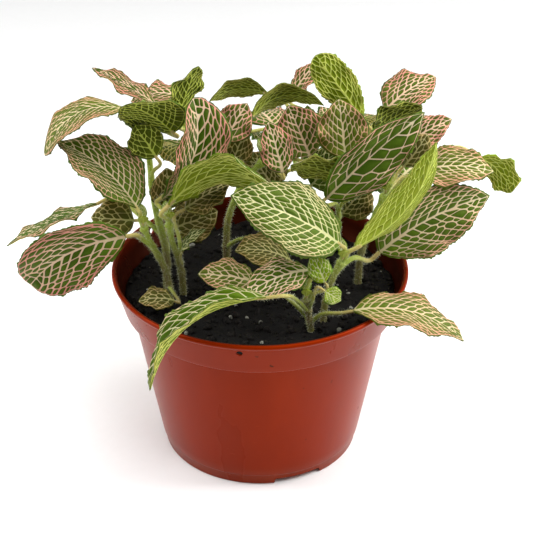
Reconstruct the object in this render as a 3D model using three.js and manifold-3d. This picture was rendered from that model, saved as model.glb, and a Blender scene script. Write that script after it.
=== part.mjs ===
// A nerve plant (Fittonia) growing in a thin plastic nursery pot. Millimetres, +Z up.
// The origin is the middle of the pot's foot, on the surface that the pot stands on.
// The pot, the soil and each leafy stem are separate solids. A leafy stem is fused from its
// stem, its petioles and its blades, because it grew as one piece.
import * as THREE from "three";
import { mergeVertices } from "three/addons/utils/BufferGeometryUtils.js";
import Module from "manifold-3d";

const wasm = await Module();
wasm.setup();

// Driving dimensions of the pot.
const POT_HEIGHT = 80;
const RIM_RADIUS = 60;
const LIP_HEIGHT = 2;
const LIP_THICKNESS = 2.2;
const BAND_BOTTOM_Z = 65;
const BAND_BOTTOM_RADIUS = 55.5;
const LEDGE_DEPTH = 3.2;
const BODY_BOTTOM_RADIUS = 41;
const FOOT_HEIGHT = 5;
const FOOT_INSET = 0.8;
const FOOT_RING_WIDTH = 6;
const WALL = 1.2;
const FLOOR_Z = 2.8;
const BOSS_RADIUS = 12;
const POT_SIDES = 40;
const NOTCH_WIDTH = 22;
const NOTCH_HEIGHT = 2.4;
const NOTCH_ANGLES = [-67, 53, 173];
const DRAIN_HOLE_RADIUS = 3.5;
const DRAIN_HOLE_CIRCLE = 22;
const DRAIN_HOLE_ANGLES = [-127, -67, -7, 53, 113, 173];
const TIE_HOLE_RADIUS = 1.25;
const TIE_HOLE_Z = 76.6;
const TIE_HOLE_ANGLES = [-97.5, 22.5, 142.5];

// Driving dimensions of the soil and of what grows in it.
const GAP = 0.3;
const SOIL_Z = 70;
const SOIL_ROUGHNESS = 0.9;
const SOIL_SIDES = 28;
const ROOT_Z = 56;
const STEM_RADIUS = 1.6;
const STEM_TOP_RADIUS = 1.1;
const STEM_SIDES = 6;
const STEM_STEPS = 8;
const PETIOLE_RADIUS = 0.8;
const PETIOLE_SIDES = 4;
const PETIOLE_STEPS = 5;
const PETIOLE_SWELL = 1.15;
const PETIOLE_SINK = 0.06;
const HOLE_CLEARANCE = 0.5;
const HOLE_SIDES = 8;
const LAST_LEAF_AT = 0.98;
// Edges shorter than this, left where two shapes cross, are closed up.
const SLIVER = 0.03;

// Driving dimensions of a blade. Its rows run along the side veins, every second one in a
// vein and the others on the quilted skin between two veins.
const BLADE_THICKNESS = 0.7;
const BLADE_START = 0.015;
const BLADE_END = 0.985;
const WIDEST_AT = 0.44;
const BASE_ROUNDNESS = 0.7;
const ROW_SPACING = 4.5;
const MOST_ROWS = 8;
const BLADE_COLUMNS = [-1, -0.5, 0, 0.5, 1];
const VEIN_SWEEP = 0.5;
const QUILT_HEIGHT = 0.55;
const SCALLOP = 0.04;
const EDGE_DROOP = 0.16;
const FOLD = 12;
const EDGE_WAVE = 1.2;
const EDGE_WAVES = 2.5;
const WAVE_FADE_WIDTH = 6;

const MATERIALS = {
  pot: { color: 0xb0521f, roughness: 0.45, metalness: 0 },
  soil: { color: 0x1d1814, roughness: 1, metalness: 0 },
  plant: { color: 0x4a7a2c, roughness: 0.55, metalness: 0 },
};

// A leaf: at, the share of the stem's length where its petiole leaves; base and tip, the ends
// of its blade; facing, the way that its upper face is turned; and its width. Its form says
// how far the midrib bows: arch towards facing, and bend to the right of the way to the tip.
// fold is how steeply its two halves rise from the midrib, in degrees, wave is how far its
// edge waves, and widest is where along it the blade is widest.
function leaf(at, base, tip, facing, width, form) {
  const usual = { bend: 0, fold: FOLD, wave: EDGE_WAVE, widest: WIDEST_AT };
  return { at, base, tip, facing, width, ...usual, ...form };
}

// The leafy stems. path runs from the soil to the stem's top.
const LEAFY_STEMS = {
  leafy_stem_left_front: {
    path: [[-36, -9, 70], [-38, -9, 84], [-43, -10, 96], [-46, -10, 104]],
    leaves: [
      leaf(0.8, [-52, -18, 104], [-90, -23, 85], [-0.2, -1, -0.1], 32,
        { arch: 3, bend: 6, fold: 30, widest: 0.58 }),
      leaf(1.0, [-48, -10, 112], [-80, 8, 132], [0.6, -0.4, 0.7], 32, { arch: 3, bend: 2, fold: 24 }),
      leaf(0.7, [-50, -2, 102], [-67, -3, 104], [-0.1, -0.8, 0.5], 18, { arch: 2 }),
      leaf(0.38, [-34, -19, 75], [-48, -23, 77], [-0.2, -0.4, 0.9], 12, { arch: 2 }),
    ],
  },
  leafy_stem_left_back: {
    path: [[-38, 0, 70], [-38, 1, 86], [-42, 5, 105], [-44, 12, 122], [-45, 18, 136]],
    leaves: [
      leaf(0.45, [-66, 12, 102], [-102, 0, 89], [-0.35, 0.25, 0.9], 26, { arch: 1 }),
      leaf(1.0, [-52, 12, 144], [-84, 0, 130], [-0.4, -0.1, 0.9], 23,
        { arch: 9, wave: 0.6, widest: 0.52 }),
      leaf(0.7, [-41, 8, 125], [-49, 7, 140], [-0.5, 0.6, 0.5], 15, { arch: 1 }),
      leaf(0.5, [-36, 4, 104], [-37, 7, 121], [0.2, -0.9, 0.3], 16, { arch: 1 }),
      leaf(0.95, [-34, 12, 134], [-51, -6, 155], [0.1, 0.9, 0.4], 28, { arch: 2, wave: 0.6 }),
      leaf(0.3, [-36, 9, 92], [-17, 11, 99], [0.1, -0.9, 0.4], 19, { arch: 1 }),
    ],
  },
  leafy_stem_left_inner: {
    path: [[-31, -6, 70], [-32, -6, 84], [-35, -7, 96], [-36, -7, 104]],
    leaves: [
      leaf(1.0, [-39, 0, 111], [-26, 4, 153], [0.7, -0.7, 0.3], 31,
        { arch: 5, bend: 5, fold: 30, widest: 0.55 }),
      leaf(0.9, [-36, -12, 114], [7, -22, 124], [-0.2, 0.8, 0.6], 36, { arch: 12, widest: 0.68 }),
      leaf(0.6, [-30, 2, 105], [-12, 4, 115], [0.1, -0.3, 0.9], 18, { arch: 1 }),
      leaf(0.5, [-31, -9, 92], [-21, -11, 103], [-0.6, -0.2, 0.7], 8, { arch: 2 }),
    ],
  },
  leafy_stem_back_left: {
    path: [[-26, 24, 70], [-26, 24, 88], [-28, 26, 108], [-29, 28, 126]],
    leaves: [
      leaf(1.0, [-41, 38, 132], [-68, 40, 149], [0.3, 0.1, 1], 22, { arch: 1 }),
      leaf(0.9, [-32, 20, 138], [-24, 18, 160], [-0.6, 0.7, 0.4], 18, { arch: 1 }),
      leaf(0.8, [-32, 50, 131], [-54, 54, 127], [0, -0.1, 1], 18, { arch: 3 }),
      leaf(0.6, [-28, 44, 112], [-34, 78, 82], [-0.1, 0.5, 0.9], 30, { arch: 6 }),
    ],
  },
  leafy_stem_middle: {
    path: [[-14, 22, 70], [-13, 22, 90], [-6, 21, 108], [2, 20, 118]],
    leaves: [
      leaf(0.8, [-14, 18, 127], [-5, 24, 141], [-0.3, -0.8, 0.6], 17, { arch: 1 }),
      leaf(0.95, [9, 12, 116], [3, 12, 139], [0.4, -0.9, 0.2], 15, { arch: 1 }),
      leaf(1.0, [20, 21, 119], [11, 20, 142], [0.2, -0.9, 0.4], 23, { arch: 1 }),
      leaf(0.3, [12, -6, 86], [-10, -14, 95], [0.1, -0.3, 0.9], 21, { arch: 3 }),
      leaf(0.7, [-12, 24, 113], [-6, 24, 129], [0.1, -0.9, 0.4], 14, { arch: 1 }),
    ],
  },
  leafy_stem_back_right: {
    path: [[14, 34, 70], [14, 34, 90], [16, 34, 110], [20, 33, 126]],
    leaves: [
      leaf(0.85, [3, 50, 133], [-21, 46, 131], [0.1, 0.8, 0.65], 19, { arch: 4, wave: 0.5 }),
      leaf(0.9, [-4, 30, 131], [26, 34, 135], [-0.2, 0.8, 0.6], 19, { arch: 8, wave: 0.5 }),
      leaf(1.0, [14, 48, 134], [23, 49, 147], [-0.3, -0.6, 0.8], 10, { arch: 1 }),
      leaf(0.95, [41, 24, 134], [22, 26, 161], [-0.3, 0.9, 0.3], 16, { arch: 1, widest: 0.58 }),
      leaf(0.8, [30, 50, 118], [46, 80, 100], [0.1, 0.4, 0.9], 28, { arch: 6 }),
      leaf(0.7, [6, 52, 116], [-6, 82, 102], [-0.1, 0.5, 0.9], 26, { arch: 6 }),
      leaf(0.4, [7, 30, 98], [-5, 28, 117], [0.1, -0.9, 0.4], 20, { arch: 1 }),
      leaf(0.5, [21, 29, 101], [34, 29, 118], [-0.1, -0.9, 0.4], 20, { arch: 1 }),
    ],
  },
  leafy_stem_right_back: {
    path: [[32, 16, 70], [32, 16, 88], [33, 14, 104], [36, 14, 118]],
    leaves: [
      leaf(1.0, [50, 28, 135], [71, 38, 146], [0, -0.3, 1], 22, { arch: 3 }),
      leaf(0.9, [47, 18, 129], [64, 16, 144], [-0.3, 0.9, 0.4], 22, { arch: 2 }),
      leaf(0.6, [26, -4, 113], [64, 4, 147], [0.3, -1, 0.2], 26, { arch: 2, bend: -2, fold: 34 }),
      leaf(1.0, [34, 12, 123], [31, 18, 146], [0.1, -0.9, 0.3], 22, { arch: 1 }),
      leaf(0.5, [33, 2, 118], [12, -6, 129], [0.1, 0.9, 0.6], 22, { arch: 2 }),
      leaf(0.4, [33, 22, 91], [44, 22, 106], [0.1, -0.9, 0.3], 19, { arch: 1 }),
    ],
  },
  leafy_stem_right: {
    path: [[25, -27, 70], [26, -27, 82], [29, -27, 92], [32, -26, 98]],
    leaves: [
      leaf(1.0, [31, -30, 107], [-11, -34, 131], [0.3, -0.6, 0.8], 30, { arch: 5 }),
      leaf(0.95, [36, -28, 104], [66, -25, 149], [0.3, 0.8, 0.4], 26, { arch: 0, bend: -7, fold: 62 }),
      leaf(0.9, [47, -15, 95], [90, -7, 116], [0.2, -1, 0.3], 30, { arch: 3, bend: -4, fold: 22 }),
    ],
  },
  leafy_stem_right_front: {
    path: [[20, -33, 70], [19, -34, 78], [18, -35, 86]],
    leaves: [
      leaf(0.6, [36, -36, 81], [80, -36, 67], [0.1, -0.1, 1], 24, { arch: 7 }),
      leaf(1.0, [19, -32, 97], [-6, -43, 92], [-0.1, -0.5, 0.9], 17, { arch: 4 }),
      leaf(0.9, [25, -36, 94], [20, -33, 105], [0.2, -0.9, 0.3], 10, { arch: 1 }),
      leaf(0.8, [25, -41, 93], [31, -43, 90], [0.1, -0.8, 0.5], 8, { arch: 1 }),
      leaf(0.8, [3, -50, 96], [-42, -60, 60], [-0.6, -0.1, 0.8], 19, { arch: 12, fold: 52 }),
      leaf(0.65, [-2, -26, 88], [-24, -30, 94], [-0.1, -0.6, 0.9], 16, { arch: 2 }),
    ],
  },
  leafy_stem_far_right: {
    path: [[40, 4, 70], [41, 4, 84], [45, 4, 98], [50, 6, 110]],
    leaves: [
      leaf(1.0, [57, 14, 127], [76, 16, 138], [0.1, -0.6, 0.8], 14, { arch: 2 }),
      leaf(0.95, [57, 8, 121], [66, 9, 135], [0.3, -0.8, 0.5], 15, { arch: 1 }),
      leaf(0.85, [61, 0, 122], [91, -8, 127], [0.1, -0.4, 1], 22, { arch: 4 }),
      leaf(0.7, [58, 24, 108], [78, 52, 98], [0.3, 0.3, 0.9], 28, { arch: 5 }),
      leaf(0.5, [52, 30, 96], [64, 64, 84], [0.2, 0.4, 0.9], 28, { arch: 6 }),
      leaf(0.75, [87, 8, 125], [100, 3, 112], [0.1, 0.9, 0.5], 17, { arch: 3, widest: 0.55 }),
    ],
  },
  leafy_stem_back: {
    path: [[0, 44, 70], [0, 46, 84], [2, 50, 96]],
    leaves: [
      leaf(1.0, [6, 60, 102], [12, 92, 80], [0.1, 0.5, 0.9], 28, { arch: 7 }),
      leaf(0.9, [-10, 56, 98], [-34, 74, 78], [-0.4, 0.4, 0.9], 26, { arch: 6 }),
      leaf(0.8, [16, 54, 96], [42, 68, 76], [0.4, 0.4, 0.9], 26, { arch: 6 }),
    ],
  },
};

// Repeatable noise from the sine of a number, between -1 and 1.
function wobble(value) {
  const wave = Math.sin(value * 12.9898) * 43758.5453;
  return 2 * (wave - Math.floor(wave)) - 1;
}

// three.js geometry to manifold solid and back.
function toSolid(geometry) {
  const bare = geometry.index ? geometry.toNonIndexed() : geometry.clone();
  bare.deleteAttribute("normal");
  bare.deleteAttribute("uv");
  const merged = mergeVertices(bare, 1e-4);
  return new wasm.Manifold(new wasm.Mesh({
    numProp: 3,
    vertProperties: new Float32Array(merged.attributes.position.array),
    triVerts: new Uint32Array(merged.index.array),
  }));
}

function toGeometry(solid) {
  const mesh = solid.getMesh();
  const geometry = new THREE.BufferGeometry();
  geometry.setAttribute("position", new THREE.BufferAttribute(mesh.vertProperties, 3));
  geometry.setIndex(new THREE.BufferAttribute(mesh.triVerts, 1));
  geometry.computeVertexNormals();
  return geometry;
}

// A lathe about +Z of a profile of [radius, height] pairs.
function lathe(profile, sides) {
  const points = profile.map(([radius, z]) => new THREE.Vector2(radius, z));
  return new THREE.LatheGeometry(points, sides).rotateX(Math.PI / 2);
}

// A round rod between two points.
function rod(from, to, radius, sides) {
  const a = new THREE.Vector3(...from);
  const b = new THREE.Vector3(...to);
  const geometry = new THREE.CylinderGeometry(radius, radius, a.distanceTo(b), sides);
  const along = b.clone().sub(a).normalize();
  geometry.applyQuaternion(new THREE.Quaternion().setFromUnitVectors(new THREE.Vector3(0, 1, 0), along));
  return geometry.translate((a.x + b.x) / 2, (a.y + b.y) / 2, (a.z + b.z) / 2);
}

function onCircle(radius, degrees, z) {
  const angle = THREE.MathUtils.degToRad(degrees);
  return [radius * Math.cos(angle), radius * Math.sin(angle), z];
}

// A tapering tube along a curve, closed at both ends.
function tube(curve, steps, sides, startRadius, endRadius) {
  const frames = curve.computeFrenetFrames(steps, false);
  const positions = [];
  const index = [];
  for (let step = 0; step <= steps; step++) {
    const share = step / steps;
    const centre = curve.getPointAt(share);
    const radius = startRadius + (endRadius - startRadius) * share;
    for (let side = 0; side < sides; side++) {
      const angle = (2 * Math.PI * side) / sides;
      const point = centre.clone();
      point.addScaledVector(frames.normals[step], radius * Math.cos(angle));
      point.addScaledVector(frames.binormals[step], radius * Math.sin(angle));
      positions.push(point.x, point.y, point.z);
    }
  }
  for (let step = 0; step < steps; step++) {
    for (let side = 0; side < sides; side++) {
      const a = step * sides + side;
      const b = step * sides + ((side + 1) % sides);
      index.push(a, b, b + sides, a, b + sides, a + sides);
    }
  }
  const last = steps * sides;
  for (let side = 1; side < sides - 1; side++) {
    index.push(0, side + 1, side, last, last + side, last + side + 1);
  }
  const geometry = new THREE.BufferGeometry();
  geometry.setAttribute("position", new THREE.Float32BufferAttribute(positions, 3));
  geometry.setIndex(index);
  return geometry;
}

// The blade of a leaf: half its width at the share s of its length, wide below the middle
// and drawn out to a point.
function halfWidth(leaf, s) {
  const fall = BASE_ROUNDNESS * (1 - leaf.widest) / leaf.widest;
  const peak = leaf.widest ** BASE_ROUNDNESS * (1 - leaf.widest) ** fall;
  return (leaf.width / 2) * (s ** BASE_ROUNDNESS * (1 - s) ** fall) / peak;
}

// The midrib and the cross directions of a blade.
function bladeFrame(leaf) {
  const base = new THREE.Vector3(...leaf.base);
  const tip = new THREE.Vector3(...leaf.tip);
  const chord = tip.clone().sub(base).normalize();
  const up = new THREE.Vector3(...leaf.facing);
  up.addScaledVector(chord, -up.dot(chord)).normalize();
  const right = chord.clone().cross(up);
  const control = base.clone().add(tip).multiplyScalar(0.5);
  control.addScaledVector(up, 2 * leaf.arch).addScaledVector(right, 2 * leaf.bend);
  return { curve: new THREE.QuadraticBezierCurve3(base, control, tip), right };
}

// The middle of the blade's thickness at the share u of its half width, and its normal.
function bladePoint(leaf, frame, u, s, quilt) {
  const centre = frame.curve.getPoint(s);
  const along = frame.curve.getTangent(s);
  const right = frame.right.clone();
  right.addScaledVector(along, -right.dot(along)).normalize();
  const up = right.clone().cross(along);
  const reach = halfWidth(leaf, s);
  const fold = THREE.MathUtils.degToRad(leaf.fold);
  const phase = leaf.seed + (u > 0 ? Math.PI / 2 : 0);
  const ripple = Math.sin(2 * Math.PI * EDGE_WAVES * s + phase);
  const wave = leaf.wave * ripple * Math.min(1, reach / WAVE_FADE_WIDTH);
  const side = u * reach * Math.cos(fold);
  const lift = Math.abs(u) * reach * Math.sin(fold) + u * u * (wave - EDGE_DROOP * reach) + quilt;
  return { point: centre.addScaledVector(right, side).addScaledVector(up, lift), up };
}

// A blade as a closed sheet of even thickness, split into triangles alike on both faces.
function blade(leaf) {
  const frame = bladeFrame(leaf);
  const columns = BLADE_COLUMNS.length;
  const veinPairs = Math.max(2, Math.round(frame.curve.getLength() / (2 * ROW_SPACING)));
  const rows = Math.min(MOST_ROWS, 2 * veinPairs);
  const faces = { top: [], bottom: [] };
  for (let row = 0; row <= rows; row++) {
    const start = BLADE_START + (BLADE_END - BLADE_START) * (row / rows);
    const inVein = row % 2 === 0;
    for (const column of BLADE_COLUMNS) {
      const edge = Math.abs(column) === 1;
      const u = column * (edge && inVein ? 1 - SCALLOP : 1);
      const s = start + VEIN_SWEEP * Math.abs(column) * start * (1 - start);
      const quilt = inVein || edge || column === 0 ? 0 : QUILT_HEIGHT;
      const { point, up } = bladePoint(leaf, frame, u, s, quilt);
      faces.top.push(point.clone().addScaledVector(up, BLADE_THICKNESS / 2));
      faces.bottom.push(point.clone().addScaledVector(up, -BLADE_THICKNESS / 2));
    }
  }
  const count = faces.top.length;
  const index = [];
  const quad = (a, b, c, d) => index.push(a, b, c, a, c, d);
  for (let row = 0; row < rows; row++) {
    for (let column = 0; column < columns - 1; column++) {
      const a = row * columns + column;
      const [b, c, d] = [a + 1, a + columns + 1, a + columns];
      const left = column < (columns - 1) / 2;
      if (left) {
        index.push(a, b, c, a, c, d, a + count, c + count, b + count, a + count, d + count, c + count);
      } else {
        index.push(a, b, d, b, c, d, a + count, d + count, b + count, b + count, d + count, c + count);
      }
    }
    const first = row * columns;
    const end = first + columns - 1;
    quad(first, first + columns, first + columns + count, first + count);
    quad(end + columns, end, end + count, end + columns + count);
  }
  for (let column = 0; column < columns - 1; column++) {
    const last = rows * columns + column;
    quad(column + 1, column, column + count, column + 1 + count);
    quad(last, last + 1, last + 1 + count, last + count);
  }
  const geometry = new THREE.BufferGeometry();
  const positions = [...faces.top, ...faces.bottom].flatMap((point) => point.toArray());
  geometry.setAttribute("position", new THREE.Float32BufferAttribute(positions, 3));
  geometry.setIndex(index);
  return geometry;
}

// A petiole from the stem to the blade, running a little way into the midrib.
function petiole(leaf, stemCurve) {
  const frame = bladeFrame(leaf);
  const start = stemCurve.getPointAt(leaf.at);
  const leaving = stemCurve.getTangentAt(leaf.at);
  const base = frame.curve.getPoint(0);
  const entering = frame.curve.getTangent(0);
  const reach = start.distanceTo(base);
  const curve = new THREE.CatmullRomCurve3([
    start,
    start.clone().addScaledVector(leaving, 0.2 * reach).lerp(base, 0.3),
    base.clone().addScaledVector(entering, -0.25 * reach),
    base,
    frame.curve.getPoint(PETIOLE_SINK),
  ]);
  return tube(curve, PETIOLE_STEPS, PETIOLE_SIDES, PETIOLE_RADIUS * PETIOLE_SWELL, PETIOLE_RADIUS);
}

function stemCurve(stem) {
  const [foot] = stem.path;
  const root = [foot[0], foot[1], ROOT_Z];
  const points = [root, ...stem.path].map((point) => new THREE.Vector3(...point));
  return new THREE.CatmullRomCurve3(points);
}

function leafyStem(stem, number) {
  const curve = stemCurve(stem);
  let solid = toSolid(tube(curve, STEM_STEPS, STEM_SIDES, STEM_RADIUS, STEM_TOP_RADIUS));
  stem.leaves.forEach((row, place) => {
    const grown = { ...row, seed: number * 7 + place, at: Math.min(row.at, LAST_LEAF_AT) };
    solid = solid.add(toSolid(petiole(grown, curve))).add(toSolid(blade(grown)));
  });
  return toGeometry(solid.asOriginal().simplify(SLIVER));
}

// The wall, floor and lip of the pot, before its holes are cut.
function potProfile() {
  const footRadius = BODY_BOTTOM_RADIUS - FOOT_INSET;
  const bodyTop = BAND_BOTTOM_RADIUS - LEDGE_DEPTH;
  const bandTop = RIM_RADIUS - 0.9;
  const lipZ = POT_HEIGHT - LIP_HEIGHT;
  return [
    [0, 0],
    [BOSS_RADIUS, 0],
    [BOSS_RADIUS + 0.8, FLOOR_Z],
    [footRadius - FOOT_RING_WIDTH, FLOOR_Z],
    [footRadius - FOOT_RING_WIDTH + 0.6, 0],
    [footRadius - 0.6, 0],
    [footRadius, 0.6],
    [footRadius + 0.3, FOOT_HEIGHT - 0.4],
    [BODY_BOTTOM_RADIUS + 0.3, FOOT_HEIGHT],
    [bodyTop, BAND_BOTTOM_Z + 0.4],
    [BAND_BOTTOM_RADIUS, BAND_BOTTOM_Z],
    [bandTop, lipZ],
    [RIM_RADIUS, lipZ + 0.4],
    [RIM_RADIUS, POT_HEIGHT - 0.5],
    [RIM_RADIUS - 0.6, POT_HEIGHT],
    [RIM_RADIUS - LIP_THICKNESS + 0.4, POT_HEIGHT],
    [RIM_RADIUS - LIP_THICKNESS, POT_HEIGHT - 0.5],
    [bandTop - WALL, lipZ - 1],
    [BAND_BOTTOM_RADIUS - WALL, BAND_BOTTOM_Z + WALL + 0.6],
    [bodyTop - WALL, BAND_BOTTOM_Z + WALL + 0.2],
    [BODY_BOTTOM_RADIUS - WALL + 0.2, FOOT_HEIGHT + 0.5],
    [BODY_BOTTOM_RADIUS - WALL - 1, FLOOR_Z + WALL],
    [0, FLOOR_Z + WALL],
  ];
}

function pot() {
  let solid = toSolid(lathe(potProfile(), POT_SIDES));
  for (const degrees of NOTCH_ANGLES) {
    const reach = FOOT_RING_WIDTH + 4;
    const notch = new THREE.BoxGeometry(reach, NOTCH_WIDTH, 2 * NOTCH_HEIGHT);
    notch.translate(BODY_BOTTOM_RADIUS + 1 - reach / 2, 0, 0);
    notch.rotateZ(THREE.MathUtils.degToRad(degrees));
    solid = solid.subtract(toSolid(notch));
  }
  for (const degrees of DRAIN_HOLE_ANGLES) {
    const from = onCircle(DRAIN_HOLE_CIRCLE, degrees, FLOOR_Z - 2);
    const to = onCircle(DRAIN_HOLE_CIRCLE, degrees, FLOOR_Z + WALL + 2);
    solid = solid.subtract(toSolid(rod(from, to, DRAIN_HOLE_RADIUS, 12)));
  }
  for (const degrees of TIE_HOLE_ANGLES) {
    const from = onCircle(RIM_RADIUS - 6, degrees, TIE_HOLE_Z);
    const to = onCircle(RIM_RADIUS + 2, degrees, TIE_HOLE_Z);
    solid = solid.subtract(toSolid(rod(from, to, TIE_HOLE_RADIUS, 8)));
  }
  return toGeometry(solid);
}

// The soil fills the pot, uneven on top, with a plain hole for each stem.
function soil() {
  const shoulder = BAND_BOTTOM_RADIUS - WALL - GAP + (SOIL_Z - BAND_BOTTOM_Z) * 0.28;
  const geometry = lathe([
    [0, FLOOR_Z + WALL + GAP],
    [BODY_BOTTOM_RADIUS - WALL - 1 - GAP, FLOOR_Z + WALL + GAP],
    [BODY_BOTTOM_RADIUS - WALL + 0.2 - GAP, FOOT_HEIGHT + 0.5 + GAP],
    [BAND_BOTTOM_RADIUS - LEDGE_DEPTH - WALL - GAP, BAND_BOTTOM_Z + WALL + 0.2 + GAP],
    [BAND_BOTTOM_RADIUS - WALL - GAP - 0.1, BAND_BOTTOM_Z + WALL + 0.6 + GAP],
    [shoulder - 1.6, SOIL_Z - 1.5],
    [42, SOIL_Z],
    [28, SOIL_Z],
    [13, SOIL_Z],
    [0, SOIL_Z],
  ], SOIL_SIDES);
  const position = geometry.attributes.position;
  for (let vertex = 0; vertex < position.count; vertex++) {
    const [x, y, z] = [position.getX(vertex), position.getY(vertex), position.getZ(vertex)];
    if (z > SOIL_Z - 0.1) {
      const place = Math.round(x) * 3.1 + Math.round(y) * 7.7;
      const calm = Math.hypot(x, y) < 1 ? 0 : SOIL_ROUGHNESS;
      position.setZ(vertex, z + calm * wobble(place));
    }
  }
  let solid = toSolid(geometry);
  for (const stem of Object.values(LEAFY_STEMS)) {
    const [x, y] = stem.path[0];
    const radius = STEM_RADIUS + HOLE_CLEARANCE;
    const hole = rod([x, y, ROOT_Z - GAP], [x, y, SOIL_Z + 6], radius, HOLE_SIDES);
    solid = solid.subtract(toSolid(hole));
  }
  return toGeometry(solid);
}

function named(name, geometry, material) {
  const mesh = new THREE.Mesh(geometry, new THREE.MeshStandardMaterial(material));
  mesh.name = name;
  return mesh;
}

const group = new THREE.Group();
group.add(named("pot", pot(), MATERIALS.pot));
group.add(named("soil", soil(), MATERIALS.soil));
Object.entries(LEAFY_STEMS).forEach(([name, stem], number) => {
  group.add(named(name, leafyStem(stem, number), MATERIALS.plant));
});

export default group;
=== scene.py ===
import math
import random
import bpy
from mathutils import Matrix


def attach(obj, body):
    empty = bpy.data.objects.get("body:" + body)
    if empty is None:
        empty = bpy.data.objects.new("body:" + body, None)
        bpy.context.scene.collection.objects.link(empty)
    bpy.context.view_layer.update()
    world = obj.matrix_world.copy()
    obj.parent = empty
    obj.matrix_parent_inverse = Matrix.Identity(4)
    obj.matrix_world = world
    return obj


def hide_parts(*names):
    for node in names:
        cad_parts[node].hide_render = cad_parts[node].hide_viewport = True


# A nerve plant in a nursery pot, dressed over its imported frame.
#
# Every leaf is a closed sheet whose net of veins is cut into its surface, cell by cell. The
# stalks carry short hairs, the soil is crumbs and grains, and the pot is thin satin plastic.
# Lengths are millimetres until a mesh is made, and metres from there on.

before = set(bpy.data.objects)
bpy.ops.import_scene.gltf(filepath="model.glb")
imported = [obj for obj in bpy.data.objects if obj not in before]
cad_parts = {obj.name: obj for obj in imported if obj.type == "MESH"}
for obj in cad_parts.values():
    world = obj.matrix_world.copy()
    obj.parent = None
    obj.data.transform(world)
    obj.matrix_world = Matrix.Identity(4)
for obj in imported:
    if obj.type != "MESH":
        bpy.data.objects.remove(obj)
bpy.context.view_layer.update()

from types import SimpleNamespace

import bmesh
import bpy
import numpy as np
from mathutils import Vector

MM = 0.001

# ---------------------------------------------------------------- leaves and stems

# What each kind of leaf looks like: how bright and how brown its green is, how pink its veins
# are, how pale they are, and how broad.
LOOK_WORDS = ("bright", "brown", "pink", "pale", "bold")
LOOKS = {
    "rosy": (0.32, 0.08, 0.75, 1.0, 1.1),
    "blush": (0.34, 0.14, 0.52, 0.86, 0.8),
    "deep": (0.36, 0.10, 0.40, 1.0, 0.85),
    "fresh": (0.40, 0.06, 0.12, 0.68, 0.66),
    "grown": (0.31, 0.12, 0.14, 0.48, 0.72),
    "coral": (0.28, 0.30, 0.95, 0.95, 0.92),
    "amber": (0.40, 0.42, 0.70, 0.75, 0.82),
    "olive": (0.38, 0.35, 0.15, 0.55, 0.7),
    "lime": (0.60, 0.0, 0.0, 0.85, 0.7),
    "pale": (0.66, 0.08, 0.0, 0.7, 0.55),
    "moss": (0.16, 0.10, 0.05, 0.4, 0.66),
    "young": (0.74, 0.0, 0.0, 0.4, 0.6),
    # Painted shade: the darkest, brownest look below is given to leaves that lie in shadow, so
    # their colour carries the shade.
    "dusk": (0.08, 0.55, 0.85, 0.35, 0.8),
}


def leaf(at, base, tip, facing, width, look, **form):
    """A leaf. at is where its petiole leaves the stem, base and tip are the ends of its blade.

    facing is the way its upper face is turned. arch and bend bow its midrib, fold is how
    steeply its halves rise, wave is how much its edge waves, widest is where its blade is
    widest, and pairs is how many side veins each half has, or None to follow its length.
    """
    usual = dict(arch=0, bend=0, fold=12, wave=1.2, widest=0.44, pairs=None)
    look = dict(zip(LOOK_WORDS, LOOKS[look]))
    return dict(at=at, base=base, tip=tip, facing=facing, width=width, look=look) | usual | form


# Where each stem runs, from the soil up.
STEM_PATHS = {
    "left_front": [(-36, -9, 70), (-38, -9, 84), (-43, -10, 96), (-46, -10, 104)],
    "left_back": [(-38, 0, 70), (-38, 1, 86), (-42, 5, 105), (-44, 12, 122), (-45, 18, 136)],
    "left_inner": [(-31, -6, 70), (-32, -6, 84), (-35, -7, 96), (-36, -7, 104)],
    "back_left": [(-26, 24, 70), (-26, 24, 88), (-28, 26, 108), (-29, 28, 126)],
    "middle": [(-14, 22, 70), (-13, 22, 90), (-6, 21, 108), (2, 20, 118)],
    "back_right": [(14, 34, 70), (14, 34, 90), (16, 34, 110), (20, 33, 126)],
    "right_back": [(32, 16, 70), (32, 16, 88), (33, 14, 104), (36, 14, 118)],
    "right": [(25, -27, 70), (26, -27, 82), (29, -27, 92), (32, -26, 98)],
    "right_front": [(20, -33, 70), (19, -34, 78), (18, -35, 86)],
    "far_right": [(40, 4, 70), (41, 4, 84), (45, 4, 98), (50, 6, 110)],
    "back": [(0, 44, 70), (0, 46, 84), (2, 50, 96)],
}

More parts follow.
